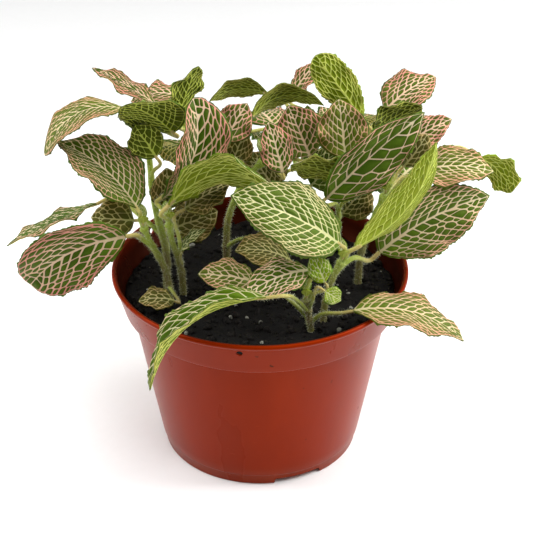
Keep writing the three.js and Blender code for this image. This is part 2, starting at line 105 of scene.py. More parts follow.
STEM_LEAVES = {
    "left_front": [
        leaf(0.8, (-52, -18, 104), (-90, -23, 85), (-0.2, -1, -0.1), 32, "rosy",
             arch=3, bend=6, fold=30, widest=0.58, pairs=8),
        leaf(1.0, (-48, -10, 112), (-80, 8, 132), (0.6, -0.4, 0.7), 32, "blush",
             arch=3, bend=2, fold=24, pairs=11),
        leaf(0.7, (-50, -2, 102), (-67, -3, 104), (-0.1, -0.8, 0.5), 18, "dusk", arch=2),
        leaf(0.38, (-34, -19, 75), (-48, -23, 77), (-0.2, -0.4, 0.9), 12, "dusk", arch=2),
    ],
    "left_back": [
        leaf(0.45, (-66, 12, 102), (-102, 0, 89), (-0.35, 0.25, 0.9), 26, "deep", arch=1),
        leaf(1.0, (-52, 12, 144), (-84, 0, 130), (-0.4, -0.1, 0.9), 23, "amber",
             arch=9, wave=0.6, widest=0.52),
        leaf(0.7, (-41, 8, 125), (-49, 7, 140), (-0.5, 0.6, 0.5), 15, "moss", arch=1),
        leaf(0.5, (-36, 4, 104), (-37, 7, 121), (0.2, -0.9, 0.3), 16, "dusk", arch=1),
        leaf(0.95, (-34, 12, 134), (-51, -6, 155), (0.1, 0.9, 0.4), 28, "moss",
             arch=2, wave=0.6),
        leaf(0.3, (-36, 9, 92), (-17, 11, 99), (0.1, -0.9, 0.4), 19, "dusk", arch=1),
    ],
    "left_inner": [
        leaf(1.0, (-39, 0, 111), (-26, 4, 153), (0.7, -0.7, 0.3), 31, "rosy",
             arch=5, bend=5, fold=30, widest=0.55, pairs=9),
        leaf(0.9, (-36, -12, 114), (7, -22, 124), (-0.2, 0.8, 0.6), 36, "lime",
             arch=12, widest=0.68, pairs=8),
        leaf(0.6, (-30, 2, 105), (-12, 4, 115), (0.1, -0.3, 0.9), 18, "dusk", arch=1),
        leaf(0.5, (-31, -9, 92), (-21, -11, 103), (-0.6, -0.2, 0.7), 8, "moss", arch=2),
    ],
    "back_left": [
        leaf(1.0, (-41, 38, 132), (-68, 40, 149), (0.3, 0.1, 1), 22, "coral", arch=1),
        leaf(0.9, (-32, 20, 138), (-24, 18, 160), (-0.6, 0.7, 0.4), 18, "moss", arch=1),
        leaf(0.8, (-32, 50, 131), (-54, 54, 127), (0, -0.1, 1), 18, "coral", arch=3),
        leaf(0.6, (-28, 44, 112), (-34, 78, 82), (-0.1, 0.5, 0.9), 30, "deep", arch=6),
    ],
    "middle": [
        leaf(0.8, (-14, 18, 127), (-5, 24, 141), (-0.3, -0.8, 0.6), 17, "coral", arch=1),
        leaf(0.95, (9, 12, 116), (3, 12, 139), (0.4, -0.9, 0.2), 15, "rosy", arch=1),
        leaf(1.0, (20, 21, 119), (11, 20, 142), (0.2, -0.9, 0.4), 23, "coral", arch=1),
        leaf(0.3, (12, -6, 86), (-10, -14, 95), (0.1, -0.3, 0.9), 21, "dusk", arch=3),
        leaf(0.7, (-12, 24, 113), (-6, 24, 129), (0.1, -0.9, 0.4), 14, "dusk", arch=1),
    ],
    "back_right": [
        leaf(0.85, (3, 50, 133), (-21, 46, 131), (0.1, 0.8, 0.65), 19, "olive",
             arch=4, wave=0.5),
        leaf(0.9, (-4, 30, 131), (26, 34, 135), (-0.2, 0.8, 0.6), 19, "olive",
             arch=8, wave=0.5),
        leaf(1.0, (14, 48, 134), (23, 49, 147), (-0.3, -0.6, 0.8), 10, "coral", arch=1),
        leaf(0.95, (41, 24, 134), (22, 26, 161), (-0.3, 0.9, 0.3), 16, "lime",
             arch=1, widest=0.58),
        leaf(0.8, (30, 50, 118), (46, 80, 100), (0.1, 0.4, 0.9), 28, "deep", arch=6),
        leaf(0.7, (6, 52, 116), (-6, 82, 102), (-0.1, 0.5, 0.9), 26, "rosy", arch=6),
        leaf(0.4, (7, 30, 98), (-5, 28, 117), (0.1, -0.9, 0.4), 20, "dusk", arch=1),
        leaf(0.5, (21, 29, 101), (34, 29, 118), (-0.1, -0.9, 0.4), 20, "moss", arch=1),
    ],
    "right_back": [
        leaf(1.0, (50, 28, 135), (71, 38, 146), (0, -0.3, 1), 22, "coral", arch=3),
        leaf(0.9, (47, 18, 129), (64, 16, 144), (-0.3, 0.9, 0.4), 22, "moss", arch=2),
        leaf(0.6, (26, -4, 113), (64, 4, 147), (0.3, -1, 0.2), 26, "deep",
             arch=2, bend=-2, fold=34, pairs=6),
        leaf(1.0, (34, 12, 123), (31, 18, 146), (0.1, -0.9, 0.3), 22, "amber", arch=1),
        leaf(0.5, (33, 2, 118), (12, -6, 129), (0.1, 0.9, 0.6), 22, "olive", arch=2),
        leaf(0.4, (33, 22, 91), (44, 22, 106), (0.1, -0.9, 0.3), 19, "dusk", arch=1),
    ],
    "right": [
        leaf(1.0, (31, -30, 107), (-11, -34, 131), (0.3, -0.6, 0.8), 30, "grown",
             arch=5, pairs=12),
        leaf(0.95, (36, -28, 104), (66, -25, 149), (0.3, 0.8, 0.4), 26, "pale",
             arch=0, bend=-7, fold=62),
        leaf(0.9, (47, -15, 95), (90, -7, 116), (0.2, -1, 0.3), 30, "blush",
             arch=3, bend=-4, fold=22, pairs=10),
    ],
    "right_front": [
        leaf(0.6, (36, -36, 81), (80, -36, 67), (0.1, -0.1, 1), 24, "amber", arch=7),
        leaf(1.0, (19, -32, 97), (-6, -43, 92), (-0.1, -0.5, 0.9), 17, "deep", arch=4),
        leaf(0.9, (25, -36, 94), (20, -33, 105), (0.2, -0.9, 0.3), 10, "young", arch=1),
        leaf(0.8, (25, -41, 93), (31, -43, 90), (0.1, -0.8, 0.5), 8, "young", arch=1),
        leaf(0.8, (3, -50, 96), (-42, -60, 60), (-0.6, -0.1, 0.8), 19, "fresh",
             arch=12, fold=52),
        leaf(0.65, (-2, -26, 88), (-24, -30, 94), (-0.1, -0.6, 0.9), 16, "amber", arch=2),
    ],
    "far_right": [
        leaf(1.0, (57, 14, 127), (76, 16, 138), (0.1, -0.6, 0.8), 14, "coral", arch=2),
        leaf(0.95, (57, 8, 121), (66, 9, 135), (0.3, -0.8, 0.5), 15, "dusk", arch=1),
        leaf(0.85, (61, 0, 122), (91, -8, 127), (0.1, -0.4, 1), 22, "amber", arch=4),
        leaf(0.7, (58, 24, 108), (78, 52, 98), (0.3, 0.3, 0.9), 28, "deep", arch=5),
        leaf(0.5, (52, 30, 96), (64, 64, 84), (0.2, 0.4, 0.9), 28, "fresh", arch=6),
        leaf(0.75, (87, 8, 125), (100, 3, 112), (0.1, 0.9, 0.5), 17, "lime",
             arch=3, widest=0.55),
    ],
    "back": [
        leaf(1.0, (6, 60, 102), (12, 92, 80), (0.1, 0.5, 0.9), 28, "fresh", arch=7),
        leaf(0.9, (-10, 56, 98), (-34, 74, 78), (-0.4, 0.4, 0.9), 26, "deep", arch=6),
        leaf(0.8, (16, 54, 96), (42, 68, 76), (0.4, 0.4, 0.9), 26, "rosy", arch=6),
    ],
}

# Stems start this low, inside the soil. Two radii are those of the ends, the thicker one first.
ROOT_Z = 56
LAST_LEAF_AT = 0.98
STEM_RADIUS, STEM_STEPS = (1.6, 1.1), 44
PETIOLE_RADIUS, PETIOLE_STEPS = (1.05, 0.78), 26
# How far a petiole follows the stem and the blade, as shares of its reach, how far it goes on
# along the midrib, how far under the blade it lies, and how deep its groove is.
PETIOLE_LEAVES, PETIOLE_ENTERS, PETIOLE_SINK = 0.2, 0.25, 0.06
PETIOLE_UNDER, PETIOLE_GROOVE = 0.25, 0.28
JOINT_SWELL, THICKEST = 0.32, 2.0
# The two young leaves on a stem: how wide, how far out and up they start, and how far they go.
YOUNG_WIDTH, YOUNG_FROM, YOUNG_GO = 4.6, (1.5, 2.2), (3.4, 5.2)


# ---------------------------------------------------------------- what every piece is made with

def unit(vectors):
    """Vectors brought to a length of one."""
    return vectors / np.maximum(np.linalg.norm(vectors, axis=-1, keepdims=True), 1e-12)


def between(here, there, share):
    """The point of the plane at a share of the way from here to there."""
    return (here[0] + (there[0] - here[0]) * share, here[1] + (there[1] - here[1]) * share)


def circle(sides):
    """The cosine and the sine of evenly spaced angles, once round."""
    turns = [2 * math.pi * k / sides for k in range(sides)]
    return [(math.cos(turn), math.sin(turn)) for turn in turns]


def ring_pairs(rings, sides, first):
    """Each point of rings that follow one another, with the next point round its ring."""
    for start in range(first, first + rings * sides, sides):
        for k in range(sides):
            yield start + k, start + (k + 1) % sides


def mesh_of(name, points, faces, *materials, **traits):
    """A smooth mesh from points in millimetres, with one value of each trait at each point."""
    mesh = bpy.data.meshes.new(name)
    mesh.from_pydata((np.array(points, float) * MM).tolist(), [], faces)
    mesh.polygons.foreach_set("use_smooth", np.ones(len(faces), bool))
    for trait, values in traits.items():
        layer = mesh.attributes.new(trait, "FLOAT", "POINT")
        layer.data.foreach_set("value", np.array(values, np.float32))
    for material in materials:
        mesh.materials.append(material)
    return mesh


def made_plain(thing, modifier, name, material):
    """What a modifier makes of an object, as a plain mesh of one material."""
    seen = thing.evaluated_get(bpy.context.evaluated_depsgraph_get())
    mesh = bpy.data.meshes.new_from_object(seen)
    thing.modifiers.remove(modifier)
    mesh.name = name
    mesh.materials.clear()
    mesh.materials.append(material)
    return mesh


def put(name, mesh):
    thing = bpy.data.objects.new(name, mesh)
    bpy.context.scene.collection.objects.link(thing)
    return thing


def fill(node, links, settings, sockets):
    """Makes a node's settings first, then its sockets, each from a value or another output.

    A socket is known by its name, or by i and its place where names repeat.
    """
    for key, value in (settings or {}).items():
        if key == "stops":
            set_stops(node.color_ramp, value)
        else:
            setattr(node, key, value)
    for key, value in sockets.items():
        numbered = key[0] == "i" and key[1:].isdigit()
        socket = node.inputs[int(key[1:]) if numbered else key.replace("_", " ")]
        if isinstance(value, bpy.types.NodeSocket):
            links.new(value, socket)
        else:
            socket.default_value = value
    return node


# ---------------------------------------------------------------- the surface of a blade

# Waves run along a blade's edge, with finer ruffles on them; both fade where it is narrow.
BASE_ROUNDNESS = 0.7
EDGE_DROOP = 0.16
EDGE_WAVES, WAVE_FADE_WIDTH = 2.5, 6
RUFFLE, RUFFLE_FADE_WIDTH = 0.34, 5
RUFFLE_TURNS = (0.8, 1.75)
CREASE = 0.003
SHEET = 0.42


def half_width(row, s):
    """Half the width of a blade at the share s of its length."""
    s = np.clip(s, 0.0, 1.0)
    widest = row["widest"]
    fall = BASE_ROUNDNESS * (1 - widest) / widest
    peak = widest**BASE_ROUNDNESS * (1 - widest) ** fall
    return row["width"] / 2 * s**BASE_ROUNDNESS * (1 - s) ** fall / peak


class Blade:
    """The curved middle surface of one leaf."""

    def __init__(self, row, seed):
        self.row = row
        self.seed = seed
        self.base = np.array(row["base"], float)
        self.tip = np.array(row["tip"], float)
        chord = unit(self.tip - self.base)
        facing = np.array(row["facing"], float)
        up = unit(facing - chord * np.dot(facing, chord))
        self.right = np.cross(chord, up)
        self.up = up
        middle = (self.base + self.tip) / 2
        self.control = middle + up * 2 * row["arch"] + self.right * 2 * row["bend"]
        steps = self.midrib(np.linspace(0, 1, 60))
        self.length = float(np.linalg.norm(np.diff(steps, axis=0), axis=1).sum())

    def midrib(self, s):
        s = np.asarray(s, float)[..., None]
        ends = (1 - s) ** 2 * self.base + s**2 * self.tip
        return ends + 2 * s * (1 - s) * self.control

    def heading(self, s):
        s = np.asarray(s, float)[..., None]
        return unit((1 - s) * (self.control - self.base) + s * (self.tip - self.control))

    def place(self, u, s, lift):
        """Points at the share u of the half width and s of the length, lifted by lift."""
        along = self.heading(s)
        right = unit(self.right - along * (along @ self.right)[:, None])
        up = np.cross(right, along)
        reach = half_width(self.row, s)
        fold = math.radians(self.row["fold"])
        phase = self.seed + np.where(u > 0, math.pi / 2, 0)
        ripple = np.sin(2 * math.pi * EDGE_WAVES * s + phase)
        wave = self.row["wave"] * ripple * np.minimum(1, reach / WAVE_FADE_WIDTH)
        slow, quick = RUFFLE_TURNS
        fade = np.minimum(1, reach / RUFFLE_FADE_WIDTH)
        frill = np.sin(s * self.length * slow + self.seed * 1.7 + 3 * u) * fade
        frill = frill + 0.5 * np.sin(s * self.length * quick + self.seed + 2 * np.sign(u))
        wave = wave + RUFFLE * self.row["wave"] * frill * fade * np.abs(u) ** 3
        bent = np.sqrt(u * u + CREASE) - math.sqrt(CREASE)
        side = u * reach * math.cos(fold)
        rise = bent * reach * math.sin(fold) + u * u * (wave - EDGE_DROOP * reach) + lift
        return self.midrib(s) + right * side[:, None] + up * rise[:, None]


# ---------------------------------------------------------------- the net of veins

class Rail:
    """A vein drawn on the flattened leaf. Crossing veins leave marks along it."""

    def __init__(self, points, kind):
        self.points = np.array(points, float)
        steps = np.linalg.norm(np.diff(self.points, axis=0), axis=1)
        self.run = np.concatenate([[0], np.cumsum(steps)])
        self.length = self.run[-1]
        self.kind = kind
        self.marks = []

    def point(self, distance):
        x = np.interp(distance, self.run, self.points[:, 0])
        y = np.interp(distance, self.run, self.points[:, 1])
        return (float(x), float(y))

    def pin(self, distance, node):
        self.marks.append((distance, node))
        return node

    def place_of(self, node):
        """How far along the vein a node lies."""
        return next(distance for distance, mark in self.marks if mark == node)

    def nodes_from(self, first, last):
        """The nodes on the vein from one to another, both included."""
        start, stop = self.place_of(first), self.place_of(last)
        low, high = sorted((start, stop))
        kept = sorted(mark for mark in self.marks if low - 1e-9 <= mark[0] <= high + 1e-9)
        nodes = [node for _, node in kept]
        return nodes if start <= stop else nodes[::-1]


def half_vein(kind, share, size):
    """Half the width of a vein of this kind at the share of its length."""
    widths = {
        "mid": 0.80 - 0.62 * share**0.55,
        "side": 0.31 - 0.10 * share,
        "cross": 0.145,
        "split": 0.12,
        "rim": 0.12,
    }
    return widths[kind] * size


# Shares of a cell: how near two marks on a vein are one, how far a mark may stray, and how far
# a crossing vein pulls it.
SNAP, STRAY, PULL = 0.26, 0.05, 0.17
# The scallops of the outline: how deep, and how many radians to the millimetre.
LOBES = ((0.22, 1.45), (0.14, 2.7))
# A cell's usual size, the midrib that each pair of side veins has, and a drawn vein's step.
USUAL_CELL, MIDRIB_PER_PAIR, VEIN_STEP = 2.6, 4.0, 0.35
# Side veins leave the midrib at this angle, less towards the tip, and bend in on their way.
VEIN_DEGREES, LESS_AT_TIP, VEIN_BEND, USUAL_WIDTH = 58, 26, 0.034, 26
# Shares of a gap: how far side veins, cross veins and split veins stray from even spacing.
SIDE_STRAY, CROSS_STRAY, CROSS_TILT, SPLIT_STRAY = 0.12, 0.16, 0.2, 0.12
# How far apart split veins are, in cells, at the edge and elsewhere.
EDGE_PITCH, INNER_PITCH = 0.78, 1.2


class Net:
    """The veins and the cells between them, on one leaf laid flat.

    y runs along the midrib from the foot of the blade, and x out to either side of it. A node
    is a point where veins meet, a rail is a vein, and a band lies between two side veins.
    """

    def __init__(self, blade, rng):
        self.blade = blade
        self.rng = rng
        row = blade.row
        self.length = blade.length
        self.width = row["width"]
        usual_pairs = int(np.clip(round(self.length / MIDRIB_PER_PAIR), 4, 11))
        self.pairs = row["pairs"] or usual_pairs
        self.cell = 0.74 * self.length / (self.pairs + 1.5)
        self.size = row["look"]["bold"] * float(np.clip(self.cell / USUAL_CELL, 0.6, 1.1))
        self.margin = float(np.clip(0.032 * self.width, 0.4, 1.0))
        self.nodes = []
        self.kinds = []
        self.cells = []
        ys = np.linspace(0, self.length, 400)
        inside = (self.inner(ys, 1) > 0) & (self.inner(ys, -1) > 0)
        self.low = float(ys[inside][0])
        self.high = float(ys[inside][-1])
        self.mid = Rail([(0, self.low), (0, self.high)], "mid")
        self.foot = self.mid.pin(0, self.add((0, self.low), "mid", 0))
        self.head = self.mid.pin(self.mid.length, self.add((0, self.high), "mid", 1))
        self.halves = [self.lay_half(sign) for sign in (1, -1)]
        for sign, bands in self.halves:
            for band in bands:
                self.close_cells(sign, band)

    def add(self, point, kind, share):
        self.nodes.append(point)
        self.kinds.append((kind, share))
        return len(self.nodes) - 1

    def outer(self, y, sign):
        """The scalloped outline of one half."""
        smooth = half_width(self.blade.row, np.asarray(y) / self.length)
        turn = self.blade.seed + 2 * sign
        (deep, slow), (shallow, quick) = LOBES
        lobes = deep * np.sin(y * slow + turn) + shallow * np.sin(y * quick + 2.3 * turn)
        return smooth + lobes * np.minimum(1, smooth / WAVE_FADE_WIDTH)

    def inner(self, y, sign):
        """The outline of the net, a green margin inside the leaf's."""
        return self.outer(y, sign) - self.margin

    def mark(self, rail, distance, toward=None):
        """A node on the rail, or the one already there. A new one is drawn towards a point."""
        near = [mark for mark in rail.marks if abs(mark[0] - distance) < SNAP * self.cell]
        if near:
            return min(near, key=lambda mark: abs(mark[0] - distance))[1]
        x, y = rail.point(distance)
        x += self.rng.uniform(-STRAY, STRAY) * self.cell
        y += self.rng.uniform(-STRAY, STRAY) * self.cell
        if toward is not None and rail.kind != "mid":
            gap = max(math.dist((x, y), toward), 1e-6)
            x, y = between((x, y), toward, min(PULL * self.cell, 0.2 * gap) / gap)
        return rail.pin(distance, self.add((x, y), rail.kind, distance / rail.length))

    def side_vein(self, sign, start):
        """A side vein from the midrib to the edge of the net, bending towards the tip."""
        share = start / self.length
        angle = math.radians(VEIN_DEGREES - LESS_AT_TIP * share**0.7)
        angle *= self.rng.uniform(0.95, 1.05)
        x, y = 0.0, start
        points = [(x, y)]
        while x < self.inner(y, sign) and y < self.high or len(points) < 3:
            x += VEIN_STEP * math.sin(angle)
            y += VEIN_STEP * math.cos(angle)
            angle *= 1 - VEIN_BEND * VEIN_STEP * USUAL_WIDTH / self.width
            points.append((x, y))
        last = np.array(points[-1])
        points[-1] = (max(0.05, float(self.inner(last[1], sign))), float(last[1]))
        return [(sign * px, py) for px, py in points]

    def lay_half(self, sign):
        """The rails and the bands of one half of the leaf."""
        rng = self.rng
        count = self.pairs
        ys = np.linspace(self.low, self.high, 160)
        rim = Rail([(sign * max(0.0, float(self.inner(y, sign))), y) for y in ys], "rim")
        rim.pin(0, self.foot)
        rim.pin(rim.length, self.head)
        span = self.high - self.low
        rails = []
        reached = 0.0
        for k in range(count):
            stray = rng.uniform(-SIDE_STRAY, SIDE_STRAY)
            share = ((k + 0.75 + stray) / (count + 0.7)) ** 1.22 * 0.9
            start = self.low + span * share
            if sign < 0:
                start += span * 0.25 / count
            points = self.side_vein(sign, start)
            end = float(np.interp(points[-1][1], ys, rim.run))
            if end <= reached + 0.5 * self.cell or end >= rim.length - 0.8 * self.cell:
                continue
            reached = end
            rail = Rail(points, "side")
            root = self.mark(self.mid, start - self.low)
            tip = rim.pin(end, self.add(points[-1], "side", 1))
            rail.pin(0, root)
            rail.pin(rail.length, tip)
            rail.rim_at = end
            rail.root = root
            rail.tip = tip
            rails.append(rail)
        return sign, [self.lay_band(rim, rails, k) for k in range(len(rails) + 1)]

    def lay_band(self, rim, rails, k):
        """The cross veins of the band between two side veins, and what closes its ends."""
        rng = self.rng
        first, last = k == 0, k == len(rails)
        lower = rim if first else rails[k - 1]
        upper = self.mid if last else rails[k]
        low_from = 0.0
        low_to = rails[0].rim_at if first else lower.length
        if last:
            high_from = float(self.nodes[rails[-1].root][1]) - self.low
            high_to = self.mid.length
        else:
            high_from, high_to = 0.0, upper.length
        reach = 0.5 * (low_to - low_from + high_to - high_from)
        count = max(1, round(reach / (self.cell * rng.uniform(0.92, 1.08))))
        crosses = []
        for j in range(1, count):
            share = (j / count) ** 0.82 + rng.uniform(-CROSS_STRAY, CROSS_STRAY) / count
            tilt = rng.uniform(-CROSS_TILT, CROSS_TILT) / count
            low_at = low_from + (low_to - low_from) * (share + tilt)
            high_at = high_from + (high_to - high_from) * (share - tilt)
            a = self.mark(lower, low_at, upper.point(high_at))
            b = self.mark(upper, high_at, self.nodes[a])
            if a == b:
                continue
            if crosses and (a in crosses[-1].ends or b in crosses[-1].ends):
                continue
            if a in (self.foot, lower.marks[0][1]) or b in (self.head, upper.marks[0][1]):
                continue
            cross = Rail([self.nodes[a], self.nodes[b]], "cross")
            cross.ends = (a, b)
            cross.pin(0, a)
            cross.pin(cross.length, b)
            crosses.append(cross)
        band = SimpleNamespace(lower=lower, upper=upper, crosses=crosses, rim=rim, first=first)
        band.roots = (self.foot if first else lower.root, rails[-1].root if last else upper.root)
        band.tips = (rails[0].tip if first else lower.tip, self.head if last else upper.tip)
        band.splits = self.split_band(band)
        return band

    def split_band(self, band):
        """Extra veins that run along the band where it is wide, mostly near the edge."""
        splits = [[]]
        for start, end in zip(band.crosses, [*band.crosses[1:], None]):
            outermost = end is None and not band.first
            wide = end.length if end else 0
            if outermost:
                low, high = (band.rim.place_of(tip) for tip in band.tips)
                wide = abs(high - low)
            middle = 0.5 * (wide + start.length)
            pitch = self.cell * (EDGE_PITCH if outermost else INNER_PITCH)
            pieces = int(np.clip(round(middle / pitch), 1, 4))
            lines = []
            for i in range(1, pieces):
                share = (i + self.rng.uniform(-SPLIT_STRAY, SPLIT_STRAY)) / pieces
                a = self.mark(start, start.length * share)
                if end is not None:
                    b = self.mark(end, end.length * share)
                elif outermost:
                    b = self.mark(band.rim, low + (high - low) * share)
                else:
                    continue
                closed = {*band.tips, *start.ends, *(end.ends if end else ())}
                closed.update(node for line in lines for node in line)
                if a not in closed and b not in closed:
                    lines.append((a, b))
            splits.append(lines)
        return splits

    def close_cells(self, sign, band):
        """Every cell of a band as a loop of nodes, each with the half width of its edge."""
        gaps = zip([None, *band.crosses], [*band.crosses, None], band.splits)
        for start, end, lines in gaps:
            low_a, high_a = start.ends if start else band.roots
            low_b, high_b = end.ends if end else band.tips
            stations = [(low_a, low_b)] + lines + [(high_a, high_b)]
            for i, ((a0, b0), (a1, b1)) in enumerate(zip(stations, stations[1:])):
                loop = []
                self.follow(loop, None if i else band.lower, a0, b0)
                self.follow(loop, end or band.rim, b0, b1)
                self.follow(loop, band.upper if i == len(lines) else None, b1, a1)
                self.follow(loop, start or self.mid, a1, a0)
                clean = []
                for node, width in loop:
                    if not clean or clean[-1][0] != node:
                        clean.append((node, width))
                while len(clean) > 1 and clean[0][0] == clean[-1][0]:
                    clean.pop()
                if len(clean) > 2:
                    self.cells.append(clean if sign > 0 else self.turned(clean))

    def follow(self, loop, rail, first, last):
        """Adds the nodes from first up to last, without last, with their edges' widths."""
        if first == last:
            return
        if rail is None:
            loop.append((first, half_vein("split", 0, self.size)))
            return
        nodes = rail.nodes_from(first, last)
        for node in nodes[:-1]:
            y = self.nodes[node][1]
            share = (y - self.low) / (self.high - self.low) if rail.kind == "mid" else 0.5
            if rail.kind == "side":
                share = min(1.0, abs(self.nodes[node][0]) / (self.width / 2))
            loop.append((node, half_vein(rail.kind, max(0.0, share), self.size)))

    @staticmethod
    def turned(loop):
        """The loop the other way round, each edge keeping its own width."""
        nodes = [node for node, _ in loop][::-1]
        widths = [width for _, width in loop][::-1]
        return list(zip(nodes, widths[1:] + widths[:1]))


# What is left of a cell: its least side and area, and how far its corners are cut.
LEAST_SIDE, LEAST_AREA = 0.06, 0.05
CORNER_SHARE, CORNER_CUT = 0.3, 0.4


def inset(corners, widths):
    """The convex cell left inside its veins, with its corners cut, or None if none is left."""
    points = corners
    for i in range(len(corners)):
        (ax, ay), (bx, by) = corners[i], corners[(i + 1) % len(corners)]
        dx, dy = bx - ax, by - ay
        size = math.hypot(dx, dy)
        if size < 1e-6:
            continue
        nx, ny = -dy / size, dx / size
        kept = []
        depths = [(px - ax) * nx + (py - ay) * ny - widths[i] for px, py in points]
        marked = list(zip(points, depths))
        for (here, d0), (there, d1) in zip(marked, marked[1:] + marked[:1]):
            if d0 >= 0:
                kept.append(here)
            if (d0 > 0 > d1) or (d0 < 0 < d1):
                kept.append(between(here, there, d0 / (d0 - d1)))
        points = kept
        if len(points) < 3:
            return None
    merged = []
    for point in points:
        if not merged or math.dist(point, merged[-1]) > LEAST_SIDE:
            merged.append(point)
    if len(merged) > 2 and math.dist(merged[0], merged[-1]) <= LEAST_SIDE:
        merged.pop()
    if len(merged) < 3 or area_of(merged) < LEAST_AREA:
        return None
    rounded = []
    for before, here, after in zip(merged[-1:] + merged, merged, merged[1:] + merged[:1]):
        for other in (before, after):
            share = min(CORNER_SHARE, CORNER_CUT / math.dist(here, other))
            rounded.append(between(here, other, share))
    return rounded


def area_of(points):
    total = 0.0
    for i in range(len(points)):
        (ax, ay), (bx, by) = points[i - 1], points[i]
        total += ax * by - ay * bx
    return total / 2


def zip_rings(outer, inner, flat, middle):
    """Triangles between an outer and an inner ring, both running the same way round."""
    def turn(index):
        return math.atan2(flat[index][1] - middle[1], flat[index][0] - middle[0])

    start = turn(outer[0])
    reach_out = [(turn(i) - start) % (2 * math.pi) for i in outer]
    reach_in = [(turn(i) - start) % (2 * math.pi) for i in inner]
    first = min(range(len(inner)), key=lambda k: reach_in[k])
    inner = inner[first:] + inner[:first]
    reach_in = reach_in[first:] + reach_in[:first]
    a = b = 0
    faces = []
    while a < len(outer) or b < len(inner):
        next_out = reach_out[a + 1] if a + 1 < len(outer) else 2 * math.pi
        next_in = reach_in[b + 1] if b + 1 < len(inner) else 2 * math.pi + reach_in[0]
        here_out, here_in = outer[a % len(outer)], inner[b % len(inner)]
        if b >= len(inner) or (a < len(outer) and next_out <= next_in):
            faces.append((here_out, outer[(a + 1) % len(outer)], here_in))
            a += 1
        else:
            faces.append((here_out, inner[(b + 1) % len(inner)], here_in))
            b += 1
    return faces


# ---------------------------------------------------------------- a leaf's mesh

MAP_NAME = "OFBake"
MAP_GAP = 1.5
TOP_SKIN, TOP_VEIN, UNDER_SKIN, UNDER_VEIN = range(4)
SKINS = (TOP_SKIN, UNDER_SKIN)
# How far each kind of vein stands out of the upper and the lower face, and how strong it is.
VEIN_RELIEF = {
    "mid": (0.30, 0.55, 1.0),
    "side": (0.10, 0.26, 0.6),
    "cross": (0.05, 0.15, 0.25),
    "split": (0.05, 0.12, 0.15),
    "rim": (0.03, 0.06, 0.1),
}
# How high a cell puffs up, the share of that at its slope and below, and where the slope lies.
PUFF, SLOPE_PUFF, UNDER_PUFF, SLOPE_AT = 0.15, 0.75, 0.7, 0.42
# A tooth's depth, its length, and the rise of its back: shares of its length and millimetres out.
TOOTH_DEPTH, TOOTH_PITCH = 0.26, 1.7
TOOTH_BACK = ((0.42, 0.0), (0.8, 0.08))
TRAITS = ("across", "along", "middle", "rank", *LOOK_WORDS[:4])


